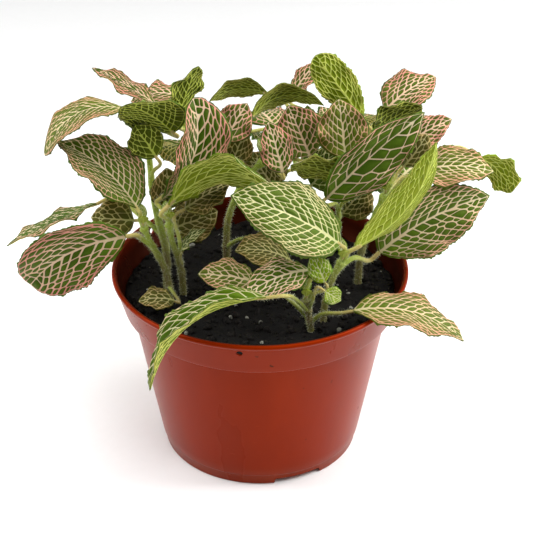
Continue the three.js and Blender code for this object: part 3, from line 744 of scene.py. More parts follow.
class FlatLeaf:
    """One leaf laid flat, both of its faces closed along its toothed edge."""

    def __init__(self, net, rng):
        self.net = net
        self.rng = rng
        self.flat, self.lift, self.middle, self.rank, self.faces = [], [], [], [], []
        self.top, self.under = [], []
        for xy, (kind, share) in zip(net.nodes, net.kinds):
            ridge, keel, rank = VEIN_RELIEF[kind]
            fade = 1 - 0.7 * share if kind == "mid" else 1.0
            self.top.append(self.point(xy, SHEET / 2 + ridge * fade * net.size, 0, rank))
            self.under.append(self.point(xy, -SHEET / 2 - keel * fade * net.size, 0, rank))
        for cell in net.cells:
            self.fill_cell(cell)
        base = self.point((0.0, 0.0), 0)
        tip = self.point((0.0, net.length), 0)
        for sign, bands in net.halves:
            nodes = [node for _, node in sorted(bands[0].rim.marks)]
            self.edge_strip(sign, nodes, base, tip)

    def point(self, xy, height, middle=0.0, rank=0.0):
        self.flat.append(xy)
        self.lift.append(height)
        self.middle.append(middle)
        self.rank.append(rank)
        return len(self.flat) - 1

    def cover(self, loop, kind):
        self.faces.append((tuple(loop), kind))

    def fill_cell(self, cell):
        """Veins sloping down round one cell, and the puffed skin inside them."""
        corners = [self.net.nodes[node] for node, _ in cell]
        if area_of(corners) < 0:
            cell = Net.turned(cell)
            corners = [self.net.nodes[node] for node, _ in cell]
        top = [self.top[node] for node, _ in cell]
        under = [self.under[node] for node, _ in cell]
        left = inset(corners, [width for _, width in cell])
        if left is None:
            for ring, kind in ((top, TOP_VEIN), (under[::-1], UNDER_VEIN)):
                for i in range(1, len(ring) - 1):
                    self.cover((ring[0], ring[i], ring[i + 1]), kind)
            return
        centre = (sum(p[0] for p in left) / len(left), sum(p[1] for p in left) / len(left))
        puff = PUFF * math.sqrt(area_of(left)) * self.rng.uniform(0.8, 1.2)
        edge = [self.point(p, SHEET / 2) for p in left]
        rise = SHEET / 2 + SLOPE_PUFF * puff
        slope = [self.point(between(p, centre, SLOPE_AT), rise, 0.7) for p in left]
        crown = self.point(centre, SHEET / 2 + puff, 1)
        low_edge = [self.point(p, -SHEET / 2) for p in left]
        low_crown = self.point(centre, -SHEET / 2 + UNDER_PUFF * puff, 1)
        for face in zip_rings(top, edge, self.flat, centre):
            self.cover(face, TOP_VEIN)
        for face in zip_rings(under, low_edge, self.flat, centre):
            self.cover(face[::-1], UNDER_VEIN)
        for i in range(len(left)):
            j = (i + 1) % len(left)
            self.cover((edge[i], edge[j], slope[j], slope[i]), TOP_SKIN)
            self.cover((slope[i], slope[j], crown), TOP_SKIN)
            self.cover((low_edge[j], low_edge[i], low_crown), UNDER_SKIN)

    def edge_strip(self, sign, nodes, base, tip):
        """The green margin outside the net, with its small rounded teeth."""
        net, top, under = self.net, self.top, self.under
        half_rim = 0.2 * net.size
        bank = []
        for node in nodes:
            x, y = net.nodes[node]
            if node in (net.foot, net.head):
                bank.append((top[node], under[node]))
            else:
                out = (x + sign * half_rim, y)
                bank.append((self.point(out, SHEET * 0.4), self.point(out, -SHEET * 0.4)))

        def outer_point(y, push):
            full = float(net.outer(y, sign))
            reach = full + push * min(1.0, full / 3)
            return self.point((sign * reach, y), self.rng.uniform(-0.05, 0.05))

        def both(upper, lower, kinds):
            for loop, kind in ((upper, kinds[0]), (lower[::-1], kinds[1])):
                self.cover(loop if sign > 0 else loop[::-1], kind)

        depth = TOOTH_DEPTH * min(1.0, net.cell / 3)
        valley = base
        for i in range(len(nodes) - 1):
            last = i == len(nodes) - 2
            y0 = net.nodes[nodes[i]][1] if i else 0.0
            y1 = net.length if last else net.nodes[nodes[i + 1]][1]
            teeth = max(1, round((y1 - y0) / TOOTH_PITCH))
            step = (y1 - y0) / teeth
            chain = [valley]
            for k in range(teeth):
                for share, push in TOOTH_BACK:
                    chain.append(outer_point(y0 + step * (k + share), push))
                if k < teeth - 1:
                    chain.append(outer_point(y0 + step * (k + 1), -depth))
            valley = tip if last else outer_point(y1, -depth)
            chain.append(valley)
            (t0, u0), (t1, u1) = bank[i], bank[i + 1]
            a, b = nodes[i], nodes[i + 1]
            vein_top = list(dict.fromkeys([top[a], t0, t1, top[b]]))
            vein_low = list(dict.fromkeys([under[a], u0, u1, under[b]]))
            if len(vein_top) > 2:
                both(vein_top, vein_low, (TOP_VEIN, UNDER_VEIN))
            half = len(chain) // 2
            for k in range(len(chain) - 1):
                hub_top, hub_low = (t0, u0) if k < half else (t1, u1)
                both([hub_top, *chain[k:k + 2]], [hub_low, *chain[k:k + 2]], SKINS)
            if t0 != t1:
                both([t0, chain[half], t1], [u0, chain[half], u1], SKINS)


class Sheet:
    """Gathers the points and faces of the leaves of one stem."""

    def __init__(self):
        self.points, self.flat, self.traits = [], [], {name: [] for name in TRAITS}
        self.faces, self.kinds, self.spots, self.islands = [], [], [], []

    def grow(self, blade, rng):
        """Adds one leaf, bent into place."""
        leaf = FlatLeaf(Net(blade, rng), rng)
        first = len(self.points)
        xy = np.array(leaf.flat)
        s = np.clip(xy[:, 1] / blade.length, 0, 1)
        reach = np.maximum(half_width(blade.row, s), 1e-6)
        u = np.clip(xy[:, 0] / reach, -1.12, 1.12)
        u = np.where(reach < 0.02, 0, u)
        self.points.extend(blade.place(u, s, np.array(leaf.lift)).tolist())
        values = dict(across=np.abs(u), along=s, middle=leaf.middle, rank=leaf.rank)
        for word in LOOK_WORDS[:4]:
            values[word] = np.full(len(s), blade.row["look"][word])
        for name, kept in self.traits.items():
            kept.extend(np.asarray(values[name], float).tolist())
        self.flat.extend(leaf.flat)
        island = len(self.islands)
        self.islands += [(blade.row["width"] + MAP_GAP, blade.length + MAP_GAP)] * 2
        for loop, kind in leaf.faces:
            self.faces.append(tuple(first + i for i in loop))
            self.kinds.append(kind)
            self.spots.append(island + (kind in (UNDER_SKIN, UNDER_VEIN)))

    def map_corners(self):
        """Where each leaf face lies on the piece's map: shelves of islands, side by side."""
        order = sorted(range(len(self.islands)), key=lambda i: -self.islands[i][1])
        area = sum(w * h for w, h in self.islands)
        side = math.sqrt(area) * 1.12
        places = {}
        x = y = tall = far = 0.0
        for i in order:
            w, h = self.islands[i]
            if x + w > side:
                x, y, tall = 0.0, y + tall, 0.0
            places[i] = (x + w / 2, y + MAP_GAP / 2)
            x += w
            tall = max(tall, h)
            far = max(far, x, y + tall)
        return places, 1 / far

    def make(self, name, materials):
        mesh = mesh_of(name, self.points, self.faces, *materials, **self.traits)
        mesh.polygons.foreach_set("material_index", np.array(self.kinds, np.int32))
        places, scale = self.map_corners()
        corners = []
        for loop, spot in zip(self.faces, self.spots):
            left, low = places[spot]
            for index in loop:
                x, y = self.flat[index]
                corners += [(left + x) * scale, (low + y) * scale]
        layer = mesh.uv_layers.new(name=MAP_NAME)
        layer.data.foreach_set("uv", np.array(corners, np.float32))
        mesh.validate()
        return put(name, mesh)


# ---------------------------------------------------------------- stems and petioles

def curve_through(points, samples=160):
    """A centripetal Catmull-Rom curve through the points, evenly sampled by length."""
    points = [np.array(p, float) for p in points]
    padded = [2 * points[0] - points[1], *points, 2 * points[-1] - points[-2]]
    dense = []
    for i in range(1, len(padded) - 2):
        p0, p1, p2, p3 = padded[i - 1:i + 3]
        steps = ((p0, p1), (p1, p2), (p2, p3))
        d0, d1, d2 = (max(np.linalg.norm(b - a) ** 0.5, 1e-4) for a, b in steps)
        m1 = ((p1 - p0) / d0 - (p2 - p0) / (d0 + d1) + (p2 - p1) / d1) * d1
        m2 = ((p2 - p1) / d1 - (p3 - p1) / (d1 + d2) + (p3 - p2) / d2) * d1
        for t in np.linspace(0, 1, 40, endpoint=False):
            a = 2 * p1 - 2 * p2 + m1 + m2
            b = -3 * p1 + 3 * p2 - 2 * m1 - m2
            dense.append(a * t**3 + b * t**2 + m1 * t + p1)
    dense.append(points[-1])
    dense = np.array(dense)
    run = np.concatenate([[0], np.cumsum(np.linalg.norm(np.diff(dense, axis=0), axis=1))])
    even = np.linspace(0, run[-1], samples)
    return np.stack([np.interp(even, run, dense[:, axis]) for axis in range(3)], axis=1)


def at_share(curve, share):
    """The point of a sampled curve and its direction at a share of its length."""
    place = share * (len(curve) - 1)
    low = min(int(place), len(curve) - 2)
    point = curve[low] + (curve[low + 1] - curve[low]) * (place - low)
    return point, unit(curve[low + 1] - curve[low])


class Stalks:
    """Gathers the tubes of one stem and its petioles."""

    def __init__(self):
        self.points, self.faces, self.tint, self.up_tube = [], [], [], []

    def tube(self, curve, radii, tint, groove=0.0, sides=12, toward=(0, 0, 1)):
        """A closed tube along a curve, flattened on the side that toward names."""
        first = len(self.points)
        steps = len(curve)
        normal = np.array(toward, float)
        for i in range(steps):
            along = unit(curve[min(i + 1, steps - 1)] - curve[max(i - 1, 0)])
            normal = unit(normal - along * np.dot(normal, along))
            other = np.cross(along, normal)
            for x, y in circle(sides):
                dent = 1 - groove * max(0.0, x) ** 3
                spread = radii[i] * dent * (x * normal + y * other)
                self.points.append((curve[i] + spread).tolist())
            self.tint += [tint] * sides
            self.up_tube += [i / (steps - 1)] * sides
        pairs = ring_pairs(steps - 1, sides, first)
        self.faces += [(a, b, b + sides, a + sides) for a, b in pairs]
        last = first + (steps - 1) * sides
        self.faces.append(tuple(first + k for k in range(sides))[::-1])
        self.faces.append(tuple(last + k for k in range(sides)))

    def grow(self, path, blades):
        """One stem from its root up, with a petiole to each blade."""
        curve = curve_through([(path[0][0], path[0][1], ROOT_Z), *path])
        shares = [min(blade.row["at"], LAST_LEAF_AT) for blade in blades]
        steps = np.linspace(0, 1, STEM_STEPS)
        radii = STEM_RADIUS[0] + (STEM_RADIUS[1] - STEM_RADIUS[0]) * steps
        for share in shares:
            radii = radii + JOINT_SWELL * np.exp(-((steps - share) / 0.025) ** 2)
        radii = np.minimum(radii, THICKEST)
        radii[-1] *= 0.5
        self.tube(np.array([at_share(curve, share)[0] for share in steps]), radii, 0.0)
        for blade, share in zip(blades, shares):
            self.petiole(blade, *at_share(curve, share))

    def petiole(self, blade, start, leaving):
        """Leaves the stem along its own direction, and slips under the foot of the blade."""
        end = blade.base
        entering = blade.heading(0.0)
        reach = float(np.linalg.norm(end - start))
        bow = start + leaving * PETIOLE_LEAVES * reach
        stops = [start, bow + (end - bow) * 0.3, end - entering * PETIOLE_ENTERS * reach, end]
        way = curve_through([*stops, blade.midrib(PETIOLE_SINK)], PETIOLE_STEPS)
        along = np.linspace(0, 1, PETIOLE_STEPS)
        thick = min(1.0, 0.55 + blade.row["width"] / 60)
        swell = 1 + 0.25 * np.exp(-(along / 0.08) ** 2)
        radii = (PETIOLE_RADIUS[0] + (PETIOLE_RADIUS[1] - PETIOLE_RADIUS[0]) * along) * swell
        radii = radii * thick * np.where(along > 0.93, 0.8, 1)
        way -= blade.up * (PETIOLE_UNDER * np.clip((along - 0.8) / 0.2, 0, 1))[:, None]
        self.tube(way, radii, 1.0, groove=PETIOLE_GROOVE, toward=blade.up)

    def make(self, name, material):
        traits = dict(tint=self.tint, up_tube=self.up_tube)
        return put(name, mesh_of(name, self.points, self.faces, material, **traits))


# ---------------------------------------------------------------- finishes

# How far light spreads inside leaves and stalks, in metres, and how shiny a leaf is.
SKIN_DEPTH = 0.0012
LEAF_SHINE = 0.36


class Finish:
    """Builds the nodes of one material."""

    def __init__(self, name):
        self.material = bpy.data.materials.new(name)
        self.material.use_nodes = True
        self.tree = self.material.node_tree
        self.tree.nodes.clear()

    def node(self, kind, settings=None, **sockets):
        ends = {key: getattr(value, "socket", value) for key, value in sockets.items()}
        return fill(self.tree.nodes.new(kind), self.tree.links, settings, ends)

    def add(self, kind, settings=None, output=0, **sockets):
        """A new node's output, by its place or its name."""
        return Wire(self, self.node(kind, settings, **sockets).outputs[output])

    def trait(self, name):
        return self.add("ShaderNodeAttribute", dict(attribute_name=name), output="Fac")

    def object_place(self):
        return self.add("ShaderNodeTexCoord", output="Object")

    def part(self, vector, axis):
        return self.add("ShaderNodeSeparateXYZ", output=axis, Vector=vector)

    def stretched(self, vector, *scale):
        return self.add("ShaderNodeMapping", Vector=vector, Scale=scale)

    def noise(self, scale, detail=3.0, vector=None, roughness=0.55):
        vector = vector or self.object_place()
        return self.add("ShaderNodeTexNoise", Vector=vector, Scale=scale, Detail=detail,
                        Roughness=roughness)

    def blend(self, share, first, second):
        """One colour turning into another. Colours are tuples or wires."""
        return self.add("ShaderNodeMix", dict(data_type="RGBA"), 2, i0=share, i6=first, i7=second)

    def ramp(self, value, stops):
        return self.add("ShaderNodeValToRGB", dict(stops=stops), Fac=value)

    def bump(self, height, distance, strength=1.0):
        return self.add("ShaderNodeBump", Height=height, Distance=distance, Strength=strength)

    def surface(self, **sockets):
        shader = self.add("ShaderNodeBsdfPrincipled", **sockets)
        self.node("ShaderNodeOutputMaterial", Surface=shader)
        return self.material


class Wire:
    """A value that changes over a surface. Sums on it add Math nodes."""

    def __init__(self, finish, socket):
        self.finish = finish
        self.socket = socket

    def _sum(self, operation, *values, clamp=False):
        settings = dict(operation=operation, use_clamp=clamp)
        sockets = {f"i{n}": value for n, value in enumerate(values)}
        return self.finish.add("ShaderNodeMath", settings, **sockets)

    def __add__(self, other):
        return self._sum("ADD", self, other)

    def __mul__(self, other):
        return self._sum("MULTIPLY", self, other)

    def __sub__(self, other):
        return self._sum("SUBTRACT", self, other)

    def __rsub__(self, other):
        return self._sum("SUBTRACT", other, self)

    def __pow__(self, other):
        return self._sum("POWER", self, other)

    __radd__ = __add__
    __rmul__ = __mul__

    def held(self):
        """Kept between 0 and 1."""
        return self._sum("ADD", self, 0.0, clamp=True)

    def band(self, low, high):
        """0 below low, 1 above high, and smooth between."""
        return self.finish.add("ShaderNodeMapRange", dict(interpolation_type="SMOOTHSTEP"),
                               Value=self, From_Min=low, From_Max=high)


def set_stops(ramp, stops):
    while len(ramp.elements) > 1:
        ramp.elements.remove(ramp.elements[-1])
    ramp.elements[0].position, ramp.elements[0].color = stops[0]
    for place, colour in stops[1:]:
        ramp.elements.new(place).color = colour


def rgb(red, green, blue):
    """A colour from its display values, 0 to 255."""
    def linear(value):
        value /= 255
        return value / 12.92 if value <= 0.04045 else ((value + 0.055) / 1.055) ** 2.4

    return (linear(red), linear(green), linear(blue), 1.0)


def leaf_skin(name, stops, brown_tone, edge_tone, gloss, light_through):
    """The green between the veins, lighter towards the base, with painted light on the puffed
    middle of each cell.
    """
    f = Finish(name)
    bright, brown = f.trait("bright"), f.trait("brown")
    middle, along, across = f.trait("middle"), f.trait("along"), f.trait("across")
    cloud = f.noise(90.0, 3.0)
    grain = f.noise(1300.0, 2.0)
    # Painted light: the middle of each puffed cell is made lighter, as where light catches its
    # crown.
    tone = bright + middle * 0.10 + (cloud - 0.5) * 0.28 + (grain - 0.5) * 0.16
    tone = (tone + (1 - along.band(0.0, 0.45)) * 0.16 - across.band(0.55, 1.0) * 0.08).held()
    colour = f.ramp(tone, stops)
    stain = (brown * (0.55 + across * 0.6 + (cloud - 0.5) * 1.2)).held()
    colour = f.blend(stain, colour, brown_tone)
    colour = f.blend(across.band(0.9, 1.02) * 0.45, colour, edge_tone)
    relief = f.bump(grain * 0.7 + f.noise(5200.0, 1.0) * 0.3, 0.00012, 0.55)
    rough = (gloss + (cloud - 0.5) * 0.2 + middle * 0.04).held()
    return f.surface(Base_Color=colour, Roughness=rough, Normal=relief,
                     Subsurface_Weight=light_through, Subsurface_Radius=(0.5, 0.9, 0.15),
                     Subsurface_Scale=SKIN_DEPTH, Specular_IOR_Level=LEAF_SHINE,
                     Specular_Tint=(0.8, 0.9, 0.25, 1.0))


def leaf_vein(name, cream, rose, green, gloss, light_through):
    """The veins, cream on the midrib and pinker towards the edge."""
    f = Finish(name)
    pink, pale, rank = f.trait("pink"), f.trait("pale"), f.trait("rank")
    across, along = f.trait("across"), f.trait("along")
    cloud = f.noise(140.0, 2.0)
    fleck = f.noise(1500.0, 2.0)
    blush = (pink * (0.55 + 0.55 * across.band(0.1, 0.9)) + across.band(0.6, 1.0) * 0.35
             + (cloud - 0.5) * 0.5 - rank.band(0.5, 1.0) * 0.2).held()
    colour = f.blend(blush, cream, rose)
    faded = (1 - pale) * 0.75 + (1 - along.band(0.0, 0.35)) * 0.18 + (fleck - 0.5) * 0.35
    colour = f.blend((faded + (1 - rank.band(0.1, 0.6)) * 0.12).held(), colour, green)
    relief = f.bump(fleck, 0.0001, 0.5)
    rough = (gloss + (fleck - 0.5) * 0.2).held()
    return f.surface(Base_Color=colour, Roughness=rough, Normal=relief,
                     Subsurface_Weight=light_through, Subsurface_Radius=(0.9, 0.8, 0.4),
                     Subsurface_Scale=SKIN_DEPTH, Specular_IOR_Level=LEAF_SHINE,
                     Specular_Tint=(1.0, 0.9, 0.6, 1.0))


def stalk_finish():
    """Green stalks, brown and purple low down, with fine streaks and a pinkish petiole."""
    f = Finish("hairy_stalk")
    tint, up_tube = f.trait("tint"), f.trait("up_tube")
    place = f.object_place()
    streak = f.noise(900.0, 3.0, vector=f.stretched(place, 1.0, 1.0, 0.18))
    cloud = f.noise(160.0, 2.0)
    old = (1 - f.part(place, "Z").band(0.080, 0.106)) * (1 - tint * 0.6)
    colour = f.ramp((streak * 0.8 + cloud * 0.3 - 0.05).held(), [
        (0.25, rgb(112, 132, 28)), (0.5, rgb(150, 170, 46)), (0.8, rgb(186, 198, 92))])
    colour = f.blend((tint * up_tube.band(0.15, 0.9) * (0.25 + cloud * 0.5)).held(), colour,
                     rgb(206, 158, 118))
    colour = f.blend((old * (0.72 + (streak - 0.5) * 0.8)).held(), colour, rgb(94, 62, 56))
    relief = f.bump(streak, 0.0002, 0.6)
    return f.surface(Base_Color=colour, Roughness=0.5 + (streak - 0.5) * 0.25, Normal=relief,
                     Subsurface_Weight=0.2, Subsurface_Radius=(0.7, 0.8, 0.3),
                     Subsurface_Scale=SKIN_DEPTH)


def hair_finish():
    f = Finish("stalk_hair")
    shade = f.noise(300.0, 2.0)
    colour = f.ramp(shade, [(0.3, rgb(196, 204, 150)), (0.7, rgb(240, 242, 222))])
    return f.surface(Base_Color=colour, Roughness=0.5 + shade * 0.2)


def soil_finish(name, dark, light, moist):
    """Dark peat of its own colour, a little damp and brown on the crumbs, with painted shade that
    turns it black in the hollows.
    """
    f = Finish(name)
    coarse = f.noise(260.0, 5.0)
    fine = f.noise(1700.0, 4.0)
    # Painted shade: the colour follows the same noise as the bump, so it darkens where the surface
    # dips.
    colour = f.ramp((coarse * 0.6 + fine * 0.55 - 0.08).held(), [
        (0.3, dark), (0.62, light), (0.86, tuple(min(1.0, c * 2.1) for c in light[:3]) + (1.0,))])
    relief = f.bump(fine * 0.6 + coarse, 0.0006, 0.9)
    return f.surface(Base_Color=colour, Roughness=(moist + fine * 0.35).held(), Normal=relief,
                     Specular_IOR_Level=0.18)


def perlite_finish():
    f = Finish("perlite_grain")
    pores = f.noise(1400.0, 4.0)
    colour = f.ramp(pores, [
        (0.3, rgb(78, 78, 68)), (0.55, rgb(128, 128, 116)), (0.8, rgb(176, 176, 166))])
    return f.surface(Base_Color=colour, Roughness=0.7 + pores * 0.25,
                     Normal=f.bump(pores, 0.0003, 0.9))


def pot_finish():
    """Thin terracotta-coloured plastic: satin, with flow marks, specks, and painted shade on the
    inner wall above the soil.
    """
    f = Finish("terracotta_plastic")
    place = f.object_place()
    x, y, height = (f.part(place, axis) for axis in "XYZ")
    radius = (x * x + y * y) ** 0.5
    inside = (height * 0.3 + 0.0351 - radius).band(-0.0003, 0.0003)
    inside = inside * height.band(0.0656, 0.0662)
    flow = f.noise(55.0, 4.0, vector=f.stretched(place, 1.0, 1.0, 0.25))
    skin = f.noise(2600.0, 2.0)
    cloud = f.noise(22.0, 3.0)
    specks = f.noise(330.0, 2.0, roughness=0.4)
    dust = specks.band(0.755, 0.785) * cloud.band(0.44, 0.58)
    scuff = f.noise(420.0, 5.0, vector=f.stretched(place, 0.6, 0.6, 3.0)).band(0.66, 0.8)
    colour = f.ramp((flow * 0.7 + cloud * 0.3).held(), [
        (0.3, rgb(118, 28, 0)), (0.55, rgb(127, 32, 0)), (0.8, rgb(137, 38, 2))])
    colour = f.blend(scuff * 0.12, colour, rgb(196, 104, 58))
    colour = f.blend(dust * 0.85, colour, rgb(58, 34, 24))
    foot_dust = (1 - height.band(0.0, 0.012)) * (flow * 0.5)
    colour = f.blend(foot_dust.held(), colour, rgb(120, 66, 44))
    # Painted shade: the inner wall above the soil is darkened, most of all down by the soil, where
    # shade falls inside the rim.
    inner_wall_shade = (inside * (1.7 - (height - 0.0665).band(0.0, 0.0135) + (cloud - 0.5) * 0.8)).held()
    colour = f.blend(inner_wall_shade * 0.9, colour, rgb(34, 14, 8))
    relief = f.bump(skin * 0.35 + flow * 0.5, 0.00025, 0.28)
    rough = (0.20 + flow * 0.10 + cloud * 0.08 + scuff * 0.25 + dust * 0.4).held()
    return f.surface(Base_Color=colour, Roughness=rough, Normal=relief, Specular_IOR_Level=0.2,
                     Specular_Tint=(1.0, 0.16, 0.03, 1.0))


def floor_finish():
    f = Finish("pale_floor")
    cloud = f.noise(3.0, 3.0)
    grain = f.noise(240.0, 3.0)
    colour = f.ramp((cloud * 0.6 + grain * 0.4).held(), [
        (0.2, rgb(246, 246, 245)), (0.8, rgb(252, 252, 252))])
    return f.surface(Base_Color=colour, Roughness=0.75 + grain * 0.1,
                     Normal=f.bump(grain, 0.0002, 0.2))


# ---------------------------------------------------------------- what Geometry Nodes scatter

class Scatter:
    """A Geometry Nodes tree that scatters small shapes over a surface and bakes them."""

    def __init__(self, name, **sizes):
        self.group = bpy.data.node_groups.new(name, "GeometryNodeTree")
        face = self.group.interface
        face.new_socket("Surface", in_out="INPUT", socket_type="NodeSocketGeometry")
        face.new_socket("Scattered", in_out="OUTPUT", socket_type="NodeSocketGeometry")
        self.sizes = sizes
        self.names = {}
        for label, value in sizes.items():
            kind = "NodeSocketInt" if isinstance(value, int) else "NodeSocketFloat"
            title = label.replace("_", " ")
            self.names[label] = face.new_socket(title, in_out="INPUT", socket_type=kind).identifier
        self.source = self.group.nodes.new("NodeGroupInput")
        self.result = self.group.nodes.new("NodeGroupOutput")

    def size(self, label):
        return self.source.outputs[label.replace("_", " ")]

    def node(self, kind, settings=None, **sockets):
        return fill(self.group.nodes.new(kind), self.group.links, settings, sockets)

    def draw(self, low, high):
        """A number, or a vector, that is drawn anew at each point."""
        many = isinstance(low, tuple)
        kind = dict(data_type="FLOAT_VECTOR" if many else "FLOAT")
        ends = dict(i0=low, i1=high) if many else dict(i2=low, i3=high)
        drawn = self.node("FunctionNodeRandomValue", kind, Seed=self.size("Seed"), **ends)
        return drawn.outputs[0 if many else 1]

    def spread(self, density):
        return self.node("GeometryNodeDistributePointsOnFaces", Seed=self.size("Seed"),
                         Mesh=self.source.outputs["Surface"], Density=self.size(density))

    def stand(self, spread, shape, rotation, scale):
        """A copy of a shape at each point, as real faces."""
        stood = self.node("GeometryNodeInstanceOnPoints", Points=spread.outputs["Points"],
                          Instance=shape.outputs["Mesh"], Rotation=rotation, Scale=scale)
        return self.node("GeometryNodeRealizeInstances", Geometry=stood.outputs[0]).outputs[0]

    def finish(self, geometry, material):
        real = self.node("GeometryNodeRealizeInstances", Geometry=geometry).outputs[0]
        coated = self.node("GeometryNodeSetMaterial", Geometry=real, Material=material)
        self.group.links.new(coated.outputs[0], self.result.inputs[0])

    def bake(self, surface, name, material):
        """What the tree makes on a surface, as a plain mesh of its own."""
        modifier = surface.modifiers.new(name, "NODES")
        modifier.node_group = self.group
        for label, value in self.sizes.items():
            modifier[self.names[label]] = value
        return put(name, made_plain(surface, modifier, name, material))


def hair_tree(material, seed):
    """Short upright hairs, each a slim cone, leaning a little every way."""
    t = Scatter("short_hairs", Hairs_per_square_metre=1.7e6, Hair_length=1.25, Seed=seed)
    spread = t.spread("Hairs_per_square_metre")
    cone = t.node("GeometryNodeMeshCone", dict(fill_type="NONE"), Vertices=3, Side_Segments=1,
                  Radius_Top=0.000008, Radius_Bottom=0.00004, Depth=0.001)
    turned = t.node("FunctionNodeRotateRotation", dict(rotation_space="LOCAL"),
                    Rotation=spread.outputs["Rotation"],
                    Rotate_By=t.draw((-0.6, -0.6, -3.1), (0.6, 0.6, 3.1)))
    length = t.node("ShaderNodeMath", dict(operation="MULTIPLY"), i0=t.draw(0.45, 1.0),
                    i1=t.size("Hair_length"))
    scale = t.node("ShaderNodeCombineXYZ", X=1.0, Y=1.0, Z=length.outputs[0])
    t.finish(t.stand(spread, cone, turned.outputs[0], scale.outputs[0]), material)
    return t


def crumb_tree(name, material, crowd, low, high, seed, rough):
    """Lumps of many sizes, each knocked out of round, half sunk into the surface."""
    t = Scatter(name, Lumps_per_square_metre=crowd, Smallest=low, Largest=high,
                Roughness=rough, Seed=seed)
    lump = t.node("GeometryNodeMeshIcoSphere", Radius=1.0, Subdivisions=2)
    cubed = t.node("ShaderNodeMath", dict(operation="POWER"), i0=t.draw(0.0, 1.0), i1=2.6)
    radius = t.node("ShaderNodeMapRange", Value=cubed.outputs[0], To_Min=t.size("Smallest"),
                    To_Max=t.size("Largest"))
    scale = t.node("ShaderNodeVectorMath", dict(operation="SCALE"),
                   i0=t.draw((0.6, 0.6, 0.45), (1.25, 1.1, 0.9)), Scale=radius.outputs[0])
    spin = t.draw((0.0, 0.0, 0.0), (6.28, 6.28, 6.28))
    real = t.stand(t.spread("Lumps_per_square_metre"), lump, spin, scale.outputs[0])
    place = t.node("GeometryNodeInputPosition")
    knocks = t.node("ShaderNodeTexNoise", Vector=place.outputs[0], Scale=900.0, Detail=2.0)
    centred = t.node("ShaderNodeVectorMath", dict(operation="SUBTRACT"),
                     i0=knocks.outputs["Color"], i1=(0.5, 0.5, 0.5))
    shifted = t.node("ShaderNodeVectorMath", dict(operation="SCALE"), i0=centred.outputs[0],
                     Scale=t.size("Roughness"))
    knocked = t.node("GeometryNodeSetPosition", Geometry=real, Offset=shifted.outputs[0])
    t.finish(knocked.outputs[0], material)
    return t


# ---------------------------------------------------------------- soil

SOIL_TOP, SOIL_EDGE, PATCH_EDGE = 70.0, 54.6, 53.4
# Radius and height down the root ball's wall, and the radius where its top starts to bank down.
SOIL_WALL = [(53.7, 67.2), (51.1, 66.8), (50.8, 65.8), (39.7, 6.2), (38.5, 4.3)]
BANK_START, BANK_REACH = 48, 7


def rolling(x, y):
    """The lie of the soil: slow swells and small lumps, in millimetres."""
    swell = 0.9 * math.sin(x * 0.11 + 1.3) * math.cos(y * 0.13 - 0.4)
    swell += 0.6 * math.sin(x * 0.27 - y * 0.21 + 2.0) + 0.35 * math.sin(x * 0.63 + y * 0.57)
    return swell + 0.22 * math.sin(x * 1.9 + 1.0) * math.sin(y * 2.1)


def soil_top(edge, rings, sides, sunk, bank=0.0):
    """Points and faces of the soil's top, ring by ring out to its edge, where it may bank down."""
    points = [(0.0, 0.0, SOIL_TOP + rolling(0, 0))]
    for ring in range(1, rings + 1):
        radius = edge * ring / rings
        fall = bank * max(0.0, (radius - BANK_START) / BANK_REACH) ** 2
        for x, y in circle(sides):
            z = SOIL_TOP + rolling(radius * x, radius * y) - sunk - fall
            points.append((radius * x, radius * y, z))
    faces = [(0, a, b) for a, b in ring_pairs(1, sides, 1)]
    faces += [(a, a + sides, b + sides, b) for a, b in ring_pairs(rings - 1, sides, 1)]
    return points, faces


def soil_body(material):
    """The root ball: a rough top closed by the wall and floor that the pot gives it."""
    rings, sides = 46, 150
    points, faces = soil_top(SOIL_EDGE, rings, sides, sunk=0.3, bank=1.1)
    for radius, z in SOIL_WALL:
        points += [(radius * x, radius * y, z) for x, y in circle(sides)]
    points.append((0.0, 0.0, SOIL_WALL[-1][1]))
    walls = ring_pairs(len(SOIL_WALL), sides, 1 + (rings - 1) * sides)
    faces += [(a, a + sides, b + sides, b) for a, b in walls]
    foot = ring_pairs(1, sides, 1 + (rings + len(SOIL_WALL) - 1) * sides)
    faces += [(a, len(points) - 1, b) for a, b in foot]
    return put("soil_body", mesh_of("soil_body", points, faces, material))


def soil_patch():
    """The top of the soil alone, for the crumbs to lie on."""
    points, faces = soil_top(PATCH_EDGE, rings=24, sides=72, sunk=0.25)
    return put("soil_patch", mesh_of("soil_patch", points, faces))


# ---------------------------------------------------------------- pot

RIM_RADIUS, BAND_RADIUS, LEDGE, BODY_RADIUS = 60.0, 55.5, 3.2, 41.0
WALL = 1.2
POT_SIDES = 168
SHARP_DEGREES = 38
# Heights up the pot: the ends of its body, the top of its collar, and the middle of its lip.
BODY_LOW, BODY_HIGH, BAND_HIGH, LIP_Z = 5.4, 63.9, 77.7, 79.0
LIP_ROUND = 1.05
DRAIN_TURNS, DRAIN_REACH, DRAIN_RADIUS = (-127, -67, -7, 53, 113, 173), 22, 3.5
TIE_TURNS, TIE_REACH, TIE_Z, TIE_RADIUS = (-97.5, 22.5, 142.5), 58, 75.9, 1.25
NOTCH_TURNS, NOTCH_REACH, NOTCH_SIZE, NOTCH_TAPER = (-67, 53, 173), 36, (10, 22, 4.8), 0.12


def arc(cx, cz, radius, start, stop, count):
    """Points of a rounded corner, angles in degrees."""
    turns = [math.radians(start + (stop - start) * i / (count - 1)) for i in range(count)]
    return [(cx + radius * math.cos(turn), cz + radius * math.sin(turn)) for turn in turns]


def line(start, stop, count):
    """Points from start to stop, with this many between them."""
    inner = [between(start, stop, (i + 1) / (count + 1)) for i in range(count)]
    return [start, *inner, stop]


